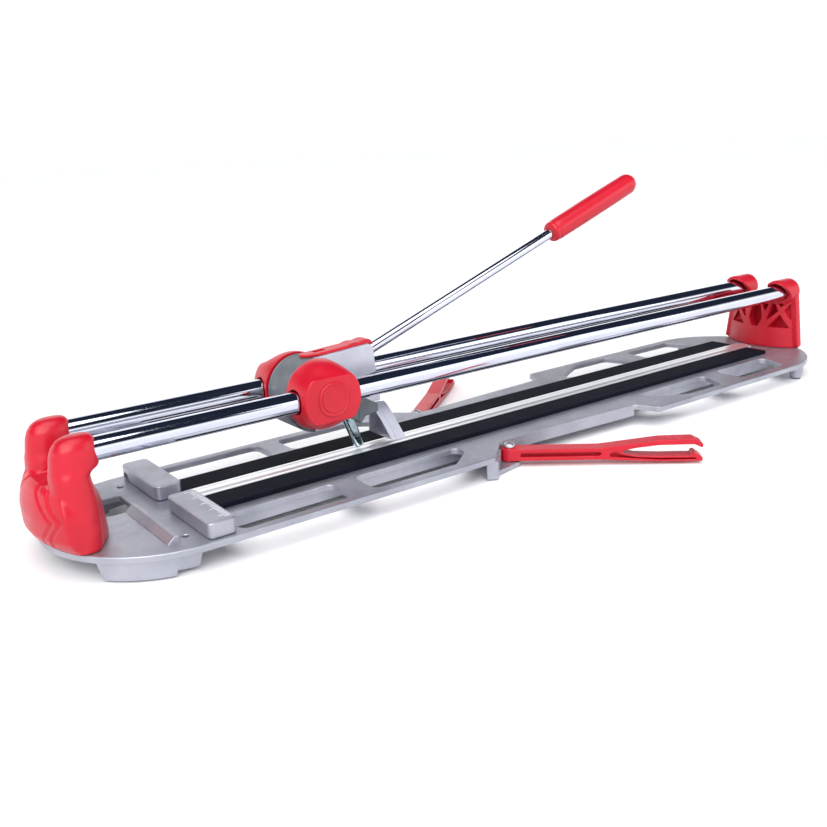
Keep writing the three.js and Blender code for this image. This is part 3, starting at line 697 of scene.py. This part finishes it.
def crescent(rings, centre_x, toward):
    """Loft of crescents in plan. Rings are (z, outer radius, inner face at the middle, half width)."""
    shapes = []
    steps = 26
    for z, radius, inner, half in rings:
        reach = math.asin(min(0.98, half / radius))
        ring = []
        for i in range(steps + 1):
            a = reach * (2 * i / steps - 1)
            ring.append(Vector((centre_x + toward * radius * math.cos(a), radius * math.sin(a), z)))
        for i in range(steps + 1):
            y = half * (1 - 2 * i / steps)
            ring.append(Vector((inner + toward * (y * y) / 105, y * 0.985, z)))
        shapes.append(ring)
    return lofted(shapes)


def near_support():
    """Two hooded lobes that grow out of a rounded crescent, moulded as one."""
    centre = PLATE_LOW.x + NEAR_R
    z = NEAR_LOW.z
    inner = NEAR_HIGH.x
    lower = crescent([
        (z, 76.5, inner, 42), (z + 3, 79.5, inner, 43), (z + 8, 82.4, inner - 0.4, 43.4),
        (z + 20, 82.8, inner - 1.5, 42.6), (z + 26, 81.8, inner - 3, 40.6), (z + 31, 80.2, inner - 5, 38),
        (z + 35, 78.4, inner - 8, 35), (z + 38, 75, inner - 12, 30),
    ], centre, -1)
    body = remeshed(joined(lower, both_sides(near_tower())), 0.8, 12)
    crease(body)
    bores = turned(rod_profile(BAR_R + 0.35, BAR_LOW.x - 0.4, BAR_LOW.x + 40, 0.3), "x", (0, BAR.y, BAR.z))
    return cut(body, both_sides(bores))


CREASE = [(6, 62), (13, 53), (22, 45.5), (32, 38), (25, 30.5), (16, 20)]
OUTER_CREASE = [(23, 55), (28, 49), (33, 44), (39, 39.5), (31.5, 31), (26, 22)]


def distance_to(path, y, z):
    """Distance in the y, z plane from a point to the nearest stretch of a path."""
    here = Vector((y, z))
    best = 1e9
    for a, b in zip(path, path[1:]):
        start, along = Vector(a), Vector(b) - Vector(a)
        t = max(0.0, min(1.0, (here - start).dot(along) / along.length_squared))
        best = min(best, (here - start - along * t).length)
    return best


def crease(mesh):
    """Presses the moulded crease lines into the outer end."""
    depth, width = 1.1, 1.0
    for v in mesh.vertices:
        if v.normal.x > -0.05:
            continue
        y = abs(v.co.y)
        gap = min(distance_to(CREASE, y, v.co.z), distance_to(OUTER_CREASE, y, v.co.z))
        v.co -= v.normal * depth * math.exp(-(gap / width) ** 2)
    mesh.update()


FACE = FAR_LOW.x + 6.5                 # bar side of the far support at its middle
POCKET_BACK = 367.0                    # how far its pockets reach
HOOD_BACK = 372.0                      # where the rounding of the hoods' free ends starts
POCKETS = [
    [(6.6, 62), (13.4, 62.4), (9.6, 54)],
    [(11.4, 44.6), (22.6, 55.4), (19.2, 63), (16.2, 63)],
    [(21.6, 63.2), (27.6, 63.4), (24.6, 59)],
    [(13.4, 38.4), (33.4, 38.6), (24.2, 52)],
    [(27.4, 56), (32.4, 64), (34.6, 45)],
]
MIDDLE_POCKET = [(-3.6, 38.2), (3.6, 38.2), (7.6, 47), (4.8, 61), (-4.8, 61), (-7.6, 47)]


def hood():
    """Tube over the bar's end whose mouth is cut on the slant, so that it peaks like a visor."""
    r = FAR_HIGH.z - BAR.z
    x0 = FAR_LOW.x
    profile = [(r - 1.4, x0), (r - 0.4, x0 + 0.5), (r, x0 + 2), (r, HOOD_BACK), (r - 1.5, HOOD_BACK + 2.6),
               (r - 4, HOOD_BACK + 4)]
    tube = turned(profile, "x", (0, BAR.y, BAR.z), 56)
    slant = [(x0 - 5, BAR.z + 8.4), (x0 + 1, BAR.z + 8.4), (FACE + 5, BAR.z - 3), (FACE + 5, 40),
             (x0 - 5, 40)]
    return cut(tube, slab([slant], BAR.y - 20, BAR.y + 20, 0.1, "xz"))


def far_support():
    """Crescent wall with a hooded tube over each bar and a triangulated lattice sunk into its bar side."""
    centre = PLATE_HIGH.x - FAR_R
    z = FAR_LOW.z
    saddle = 72.0
    wall = crescent([
        (z, 78, FACE - 3, 43.3), (z + 20, 77.4, FACE - 1.4, 41), (z + 40, 76, FACE, 38.8),
        (saddle - 3, 72, FACE + 0.5, 37), (saddle, 69, FACE + 2.5, 35),
    ], centre, 1)
    r = FAR_HIGH.z - BAR.z
    leg_side = [(BAR.y - r, 60), (BAR.y - r, BAR.z), (BAR.y + r, BAR.z), (43.2, 20), (20, 20)]
    leg = slab([rounded(leg_side, 0.6)], FACE + 11, HOOD_BACK, 1, "yz")
    shape = remeshed(joined(wall, both_sides(joined(hood(), leg))), 0.8, 4)
    tools = [
        both_sides(slab([rounded(points, 0.7, 3)], FACE - 6, POCKET_BACK, 0.3, "yz")) for points in POCKETS
    ]
    tools.append(slab([rounded(MIDDLE_POCKET, 2)], FACE - 6, POCKET_BACK, 0.3, "yz"))
    socket = turned(rod_profile(BAR_R + 0.35, FACE - 3, BAR_HIGH.x + 0.4, 0.3), "x", (0, BAR.y, BAR.z))
    mouth = turned(rod_profile(BAR_R + 2, FAR_LOW.x - 3, FACE + 5.5, 0.8), "x", (0, BAR.y, BAR.z))
    screw_high = box_mm("back_bar_end_screw")[1]
    head = screw_high.z - BAR.z + 0.4
    counterbore = turned(
        rod_profile(head, screw_high.x - 3.3, screw_high.x + 20, 0.3), "x", (0, BAR.y, BAR.z)
    )
    clearance = turned(rod_profile(2.8, BAR_HIGH.x - 2, screw_high.x, 0.1), "x", (0, BAR.y, BAR.z))
    tools += [both_sides(tool) for tool in (socket, mouth, counterbore, clearance)]
    return cut(shape, *tools)


def guide_bar():
    return turned(rod_profile(BAR_R, BAR_LOW.x, BAR_HIGH.x, 0.7), "x", (0, BAR.y, BAR.z), 96)


# ---------------------------------------------------------------- carriage

COVER_REAR_R = 25.0
COVER_FACE_R = 22.6
COVER_FLAT = 16.2


def cover_ring(y, blend, inset=0.0, count=96):
    """Section of the cover: round at the hub, cut flat above and below at its outer face."""
    soft = 26
    ring = []
    for i in range(count):
        a = math.tau * i / count
        flat = COVER_FLAT / max(abs(math.sin(a)), 0.02)
        face = (COVER_FACE_R ** -soft + flat ** -soft) ** (-1 / soft)
        r = COVER_REAR_R + (face - COVER_REAR_R) * blend - inset
        ring.append(Vector((PIVOT.x + r * math.cos(a), y, PIVOT.z + r * math.sin(a))))
    return ring


def carriage_cover():
    """Domed cover over one end of the carriage, with a rolled edge round its flat outer face."""
    y0, y1 = COVER_LOW.y, COVER_HIGH.y
    steps = 14
    rings = [cover_ring(y0, 0, 0.8), cover_ring(y0 + 0.5, 0, 0.1)]
    for i in range(1, steps + 1):
        t = i / steps
        rings.append(cover_ring(y0 + 0.5 + (y1 - y0 - 1.9) * t, t ** 2.3))
    for i in range(1, 5):
        a = math.pi / 2 * i / 4
        rings.append(cover_ring(y1 - 1.4 + 1.4 * math.sin(a), 1, 1.4 * (1 - math.cos(a))))
    body = lofted(rings)
    hub_side = turned([(20, y0 - 3), (20, y0 + 5)], "y", (PIVOT.x, 0, PIVOT.z), 48)
    bore = turned([(BAR_R + 1.3, PIVOT.x - 40), (BAR_R + 1.3, PIVOT.x + 40)], "x", (0, BAR.y, BAR.z), 48)
    return cut(body, hub_side, bore)


def cover_cap():
    """Plain round badge: a raised rim, a dished field and a raised middle."""
    y = COVER_HIGH.y
    profile = [(12.2, y - 0.5), (12.2, y + 0.5), (11.8, y + 0.9), (11.1, y + 0.95), (10.7, y + 0.55),
               (9.4, y + 0.35), (9.1, y + 0.75), (8.5, y + 0.85), (8.1, y + 0.5), (4.6, y + 0.3),
               (0.4, y + 0.28)]
    return turned(profile, "y", (PIVOT.x, 0, PIVOT.z), 72)


def carriage_casting():
    """Grey casting that shows below the hub and at the sides of the covers."""
    half = 15.4
    inner, outer = 25.0, 27.5
    start, end = 201, 262
    ring = arc(PIVOT.x, PIVOT.z, outer, start, end, 20) + arc(PIVOT.x, PIVOT.z, inner, end, start, 20)
    strap = slab([ring], -half, half, 0.5, "xz")
    cheek_shape = arc(PIVOT.x, PIVOT.z, outer, start, end, 20) + [Vector((PIVOT.x, PIVOT.z - 12)),
                                                                  Vector((PIVOT.x - 18, PIVOT.z - 8))]
    cheek = slab([cheek_shape], half - 2.2, half, 0.4, "xz")
    housing = lofted([cover_ring(y, 1, inset) for y, inset in ((13.4, 3.6), (14, 3), (28, 3), (29, 4))])
    return joined(strap, both_sides(cheek), both_sides(housing))


# ---------------------------------------------------------------- lever

HUB_R = 24.0
HUB_HALF = 12.6
HEAD = [(4, -4), (56, 3.4), (54.4, 22.4), (50.6, 26.3), (2, 23.4), (-3, 17)]
HEAD_HALF = 7.3
BRACKET = [(16, -8), (37.9, -11), (37.9, -31.6), (33.4, -27.4), (16, -24)]
BRACKET_HALF = 7.8
SCORING = {"along": 21.4, "boss_r": 8.5, "boss_low": -25}


def lever_hub():
    """Grey drum between the covers, with a fine raised lip at each edge."""
    r, h = HUB_R, HUB_HALF
    profile = [(r - 9, -h), (r - 1, -h), (r - 0.3, -h + 0.4), (r, -h + 1), (r, -h + 1.8), (r - 0.5, -h + 2.3),
               (r - 0.5, h - 2.3), (r, h - 1.8), (r, h - 1), (r - 0.3, h - 0.4), (r - 1, h), (r - 9, h)]
    return turned(profile, "y", PIVOT, 96)


def lever_head():
    """Light cast block that rises from the drum and holds the rod."""
    return at_pivot(slab([rounded(HEAD, [2, 2, 3, 3, 5, 5])], -HEAD_HALF, HEAD_HALF, 1.5, "xz", 4))


def breaker_bracket():
    return at_pivot(slab([rounded(BRACKET, 1.4)], -BRACKET_HALF, BRACKET_HALF, 0.9, "xz"))


def scoring_boss():
    s = SCORING
    boss = turned(rod_profile(s["boss_r"], s["boss_low"], 0, 1.0), "z", (s["along"], 0, 0), 56)
    return tilted(boss)


def ribbon(stations, power=5.0, sides=32):
    """Loft along X of soft-cornered sections given as (x, half width, low z, high z)."""
    rings = []
    for x, half, low, high in stations:
        ring = []
        for i in range(sides):
            a = math.tau * (i + 0.5) / sides
            u = math.copysign(abs(math.cos(a)) ** (2 / power), math.cos(a))
            v = math.copysign(abs(math.sin(a)) ** (2 / power), math.sin(a))
            ring.append(Vector((x, half * u, (low + high) / 2 + (high - low) / 2 * v)))
        rings.append(ring)
    return lofted(rings)


def lever_trim():
    """Red insert along the top of the head: a round tip on the drum, a slot, a small bump, a raised end."""
    half = HEAD_HALF - 0.7
    body = ribbon([
        (-3.4, 0.8, 23.9, 25.2), (-2.6, 2.6, 23.8, 25.6), (-0.8, 4.4, 23.7, 25.8), (2.5, 5.8, 23.6, 25.8),
        (7, half, 23.5, 25.8), (18, half, 24.0, 26.4), (33, half, 24.8, 27.2), (37, half, 25.2, 28.3),
        (40, half, 25.4, 28.5), (43, half, 25.5, 28.0), (47, half, 25.7, 29.0), (50, half, 25.8, 29.3),
        (52.6, half - 0.2, 25, 28.6), (54.2, half - 0.6, 24.4, 26.8), (54.9, half - 1.4, 24.0, 25.2),
    ])
    slot = block(7.5, 17, -2.4, 2.4, 24.6, 40, 0.5)
    return at_pivot(cut(body, slot))


def lever_rod():
    r = box_mm("lever_rod")[1].y
    return tilted(turned(rod_profile(r, 31, 325, 0.5), "x", (0, 0, 0), 48))


def lever_grip():
    """Moulded grip: a small collar at the rod, a barely swollen barrel and a domed end."""
    start, end = 255.0, 361.0
    profile = [(4.1, start), (6.2, start), (7.6, start + 0.7), (8.3, start + 2), (8.4, start + 3.4),
               (8.1, start + 4.2), (8.2, start + 5)]
    barrel = 14
    for i in range(barrel + 1):
        t = i / barrel
        swell = 0.45 * math.sin(math.pi * (0.15 + 0.7 * t))
        profile.append((8.55 + swell, start + 7 + (end - start - 16.5) * t))
    last_r, last_x = profile[-1]
    for i in range(1, 10):
        a = math.pi / 2 * i / 9
        profile.append((max(last_r * math.cos(a), 0.05), last_x + (end - last_x) * math.sin(a)))
    return tilted(turned(profile, "x", (0, 0, 0), 64))


def scoring_holder():
    """Polished stem that tapers to a slim tip, slotted for the wheel, with a flat for its screw."""
    along, r, tip = SCORING["along"], 4.9, 3.5
    profile = [(4.2, 2), (r, 1.3), (r, -36), (r - 0.15, -37.2), (tip + 0.2, -60.6), (tip - 0.3, -61.8),
               (tip - 0.9, -62.2)]
    body = turned(profile[::-1], "z", (along, 0, 0), 56)
    slot = block(along - 9, along + 9, -1.15, 1.15, -64, -53.4, 0.2)
    flat = block(along - 9, along + 9, -9, -3.9, -49, -38, 0.6)
    return tilted(cut(body, slot, flat))


WHEEL_Z = -59.78                       # centre of the scoring wheel, from the lever line


def scoring_wheel():
    profile = [(1.3, -0.85), (2.9, -0.85), (3.96, -0.1), (3.96, 0.1), (2.9, 0.85), (1.3, 0.85)]
    return tilted(turned(profile, "y", (SCORING["along"], 0, WHEEL_Z), 64))


BREAKER = {"x0": 53.5, "thick": 12.4, "half": 15.6, "low": -48.6, "high": -21.5, "lean": 0.28, "wall": 3.0}
ARCH_BEND = 1.45                        # above 1 rounds the crown; 1 would make a straight gable


def arch(offset, grow, steps=28):
    """Leaning arch section of the breaker foot, grown by grow all round, offset along x from its front."""
    b = BREAKER
    half = b["half"] + grow
    low = b["low"] - min(grow, 0)
    high = b["high"] + grow
    ring = []
    for i in range(steps + 1):
        across = math.cos(math.pi * i / steps)
        z = low + (high - low) * (1 - abs(across) ** ARCH_BEND)
        ring.append(Vector((b["x0"] + offset + b["lean"] * (b["high"] - z), half * across, z)))
    return ring


def breaker_foot():
    """Arched foot, hollow towards the wheel, with a flat strip raised along its back."""
    thick, wall = BREAKER["thick"], BREAKER["wall"]
    steps = [(0, -0.8), (0.3, -0.3), (0.9, 0), (4, 0), (4.3, 0.4), (8.4, 0.4), (8.7, 0),
             (thick - 0.9, 0), (thick - 0.3, -0.3), (thick, -0.8)]
    foot = lofted([arch(offset, grow) for offset, grow in steps])
    hollow = lofted([arch(-1, -wall), arch(thick - 3.5, -wall - 0.8)])
    nub = block(45, BREAKER["x0"] + 5, -6.6, 6.6, -18.4, -12.6, 0.9)
    return at_pivot(joined(cut(foot, hollow), nub))


def breaker_stem():
    """Dark arm that runs from the drum's bracket to the crown of the arch."""
    reach = BREAKER["x0"] + 2.5
    side = [(38.2, -12.4), (46, -14), (reach, -20.6), (reach, -26.6), (49, -27.4), (44.6, -28), (41, -32.2),
            (38.2, -32.6)]
    return at_pivot(slab([rounded(side, 1.5)], -6.8, 6.8, 1.0, "xz"))


# ---------------------------------------------------------------- side arms

ARM_ANGLE = 40.0
ARM_HALF = 6.0
ARM_OUTLINE = [
    (0.4, 4.5), (68, 4.4), (112, 2.2), (144, 2), (144, 4.8), (138.6, 8.6), (136.4, 8.2), (136, 6.2),
    (112, 6.2), (95, 7), (86, 8.6), (84, 10), (86, 11.4), (95, 13.2), (112, 15), (137.4, 15.2),
    (141.4, 13.4), (144, 12), (144, 15.6), (137, 19.4), (112, 19.0), (68, 13.6), (0.4, 13.5),
]
ARM_ROUNDING = [0, 3, 3, 1, 1, 1, 0.6, 1, 3, 3, 1.5, 1.5, 1.5, 3, 3, 1.2, 1.5, 0.8, 1.5, 3, 3, 3, 0]
ARM_POCKETS = [
    [(8.5, 7.4), (67, 7.4), (69.5, 9), (67, 10.6), (8.5, 10.6)],
    [(75.5, 6.4), (90, 5.2), (112, 3.5), (139, 3.4), (139, 4.7), (112, 4.9), (95, 5.8), (84.5, 7.9),
     (80, 10.4), (75.5, 9.4)],
]
ARM_WEB = [(4, 5.4), (90, 4.2), (112, 2.8), (141, 2.8), (141, 5.4), (112, 5.6), (94, 6.6), (84, 9),
           (80, 12), (66, 12.4), (4, 12.4)]


def side_arm():
    """Forked arm: a channel section beam that opens into two prongs with small hooks."""
    loops = [rounded(ARM_OUTLINE, ARM_ROUNDING, 4)] + [rounded(p, 0.6, 3) for p in ARM_POCKETS]
    beam = slab(loops, -ARM_HALF, ARM_HALF, 0.45, "xz")
    web = slab([rounded(ARM_WEB, 0.8)], -1.5, 1.5, 0.3, "xz")
    barrel = turned(rod_profile(6.4, 4, 14, 0.8), "z", (0, 0, 0), 48)
    ridges = []
    for i in range(3):
        x = 117 + 6 * i
        ridges.append(block(x, x + 1.6, -ARM_HALF + 1, ARM_HALF - 1, 18.2, 19.5, 0.3))
    mesh = joined(beam, web, barrel, *ridges)
    turn = Matrix.Rotation(math.radians(ARM_ANGLE), 4, "Z")
    mesh.transform(Matrix.Translation((ARM_PIVOT.x, ARM_PIVOT.y, 0)) @ turn)
    return mesh


def arm_screw():
    """Button head with a hex socket, standing on the arm's barrel."""
    low, high = box_mm("back_arm_screw")
    centre = (low + high) / 2
    seat = high.z - 3
    dome = [(2.4, low.z), (2.5, low.z + 0.4), (2.5, seat), (4.3, seat), (4.5, seat + 0.3), (4.5, seat + 1.6),
            (4.1, seat + 2.5), (3.2, seat + 3.0), (0.3, seat + 3.0)]
    head = turned(dome, "z", (centre.x, centre.y, 0), 48)
    socket = slab([circle(centre.x, centre.y, 2.1, 6)], seat + 1.2, seat + 5, 0.05)
    return cut(head, socket)


# ---------------------------------------------------------------- making the pieces

def make_base():
    piece("base_casting", base_casting(), "base", ALUMINIUM, "cast_aluminium", "base_plate")
    piece("breaking_rail", breaking_rib(), "base", BRIGHT, "machined_aluminium", "breaking_rib")
    pair("rubber_strip", tile_pad(), "base", RUBBER, "navy_rubber", "tile_pad")
    piece("fence_front", mirrored(fence_block(False)), "base", ALUMINIUM, "cast_aluminium",
          "front_fence_block")
    piece("fence_back", fence_block(True), "base", ALUMINIUM, "cast_aluminium", "back_fence_block")
    piece("fence_marks", fence_ticks(), "base", TICKS, "machined_aluminium")
    piece("fence_end_support", near_support(), "base", RED, "red_plastic", "near_support", sharp=55)
    piece("free_end_support", far_support(), "base", RED, "red_plastic", "far_support", sharp=40)
    pair("bar", guide_bar(), "base", CHROME, "chrome_steel", "guide_bar")
    pair("button_screw", arm_screw(), "base", ZINC, "zinc_steel", "arm_screw")


def make_carriage():
    pair("dome_cover", carriage_cover(), "carriage", RED, "red_plastic", "carriage_cover")
    pair("badge", cover_cap(), "carriage", RED, "red_plastic", "cover_cap")
    piece("carriage_casting", carriage_casting(), "carriage", GREY, "dark_cast", "carriage_frame")


def make_lever():
    piece("lever_casting", joined(lever_head(), scoring_boss()), "lever", LIGHT_CASTING, "cast_aluminium",
          "lever_head")
    piece("lever_drum", joined(lever_hub(), breaker_bracket()), "lever", GREY, "dark_cast")
    piece("lever_insert", lever_trim(), "lever", RED, "red_plastic", "lever_trim")
    piece("lever_bar", lever_rod(), "lever", CHROME, "chrome_steel", "lever_rod")
    piece("grip", lever_grip(), "lever", RED, "red_plastic", "lever_grip")
    piece("scoring_stem", scoring_holder(), "lever", TOOL_STEEL, "polished_steel", "scoring_holder")
    piece("cutting_wheel", scoring_wheel(), "wheel", TOOL_STEEL, "polished_steel", "scoring_wheel")
    piece("breaker_arch", breaker_foot(), "lever", LIGHT_CASTING, "cast_aluminium", "breaker_foot")
    piece("breaker_stem", breaker_stem(), "lever", GREY, "dark_cast")


def make_arms():
    pair("folding_arm", side_arm(), {"front": "front_arm", "back": "back_arm"}, RED, "red_plastic",
         "side_arm")


def dress_small_parts():
    """Gives the frame's own hidden and small nodes their detailed materials."""
    finishes = {"zinc_steel": ZINC, "black_plastic": BLACK, "polished_steel": TOOL_STEEL}
    slots = {part["node"]: part["material_slot"] for part in frame["record"]["subparts"]}
    for name, node in frame["nodes"].items():
        material = finishes.get(slots[name])
        if material and not node.hide_render:
            node.data.materials.clear()
            node.data.materials.append(material)


# ---------------------------------------------------------------- studio

def camera():
    data = bpy.data.cameras.new("camera")
    data.lens = 41.15
    data.sensor_width = 36
    data.clip_end = 50
    eye = bpy.data.objects.new("camera", data)
    right = Vector((0.80007, -0.59857, -0.04018)).normalized()
    up = Vector((0.20466, 0.20937, 0.95619)).normalized()
    back = right.cross(up)
    turn = Matrix((right, up, back)).transposed().to_4x4()
    eye.matrix_world = Matrix.Translation((-0.50283, -0.56652, 0.24997)) @ turn
    bpy.context.scene.collection.objects.link(eye)
    bpy.context.scene.camera = eye


def softbox(name, place, target, size, power, color=(1, 1, 1)):
    data = bpy.data.lights.new(name, "AREA")
    data.shape = "RECTANGLE"
    data.size, data.size_y = size
    data.energy = power
    data.color = color
    lamp = bpy.data.objects.new(name, data)
    lamp.location = place
    lamp.rotation_euler = (Vector(target) - Vector(place)).to_track_quat("-Z", "Y").to_euler()
    bpy.context.scene.collection.objects.link(lamp)


def world():
    """White near the horizon and below it, dark overhead, which draws bands on the bright bars."""
    sky = bpy.data.worlds.new("studio")
    bpy.context.scene.world = sky
    sky.use_nodes = True
    tree = sky.node_tree
    background = tree.nodes["Background"]
    coordinates = tree.nodes.new("ShaderNodeTexCoord")
    split = tree.nodes.new("ShaderNodeSeparateXYZ")
    ramp = tree.nodes.new("ShaderNodeValToRGB")
    tree.links.new(coordinates.outputs["Generated"], split.inputs["Vector"])
    tree.links.new(split.outputs["Z"], ramp.inputs["Fac"])
    tree.links.new(ramp.outputs["Color"], background.inputs["Color"])
    ramp.color_ramp.elements[0].position = 0.26
    ramp.color_ramp.elements[0].color = (1, 1, 1, 1)
    ramp.color_ramp.elements[1].position = 0.42
    ramp.color_ramp.elements[1].color = (0.012, 0.017, 0.03, 1)
    background.inputs["Strength"].default_value = 1.4


def floor():
    """Pale floor with the faintest mottling."""
    s = Shader("floor", (0.96, 0.96, 0.965), 0.8, 0.0, Specular_IOR_Level=0.1)
    s.color(s.ramp(s.noise(0.4), 0.3, 0.7, (0.95, 0.95, 0.96), (0.97, 0.97, 0.975)))
    corners = ((-9, -9), (9, -9), (9, 9), (-9, 9))
    mesh = lofted([[Vector((x, y, z)) for x, y in corners] for z in (-0.02, -0.0005)])
    thing = bpy.data.objects.new("floor", mesh)
    mesh.materials.append(s.material)
    bpy.context.scene.collection.objects.link(thing)


def sun():
    data = bpy.data.lights.new("sky light", "SUN")
    data.energy = 3.1
    data.angle = math.radians(70)
    lamp = bpy.data.objects.new("sky light", data)
    lamp.rotation_euler = (math.radians(22), math.radians(-18), 0)
    bpy.context.scene.collection.objects.link(lamp)


def studio():
    bpy.context.scene.view_settings.view_transform = "Standard"
    camera()
    world()
    floor()
    sun()
    softbox("key", (-1.3, -1.5, 1.5), (0, 0, 0), (1.8, 1.0), 13, (1.0, 0.99, 1.0))
    softbox("fill", (1.2, -1.4, 0.9), (0, 0, 0), (1.2, 0.8), 5, (0.95, 0.96, 1.0))
    softbox("back", (0.4, 1.8, 1.2), (0, 0, 0), (2.0, 0.8), 6)


make_base()
make_carriage()
make_lever()
make_arms()
dress_small_parts()
studio()
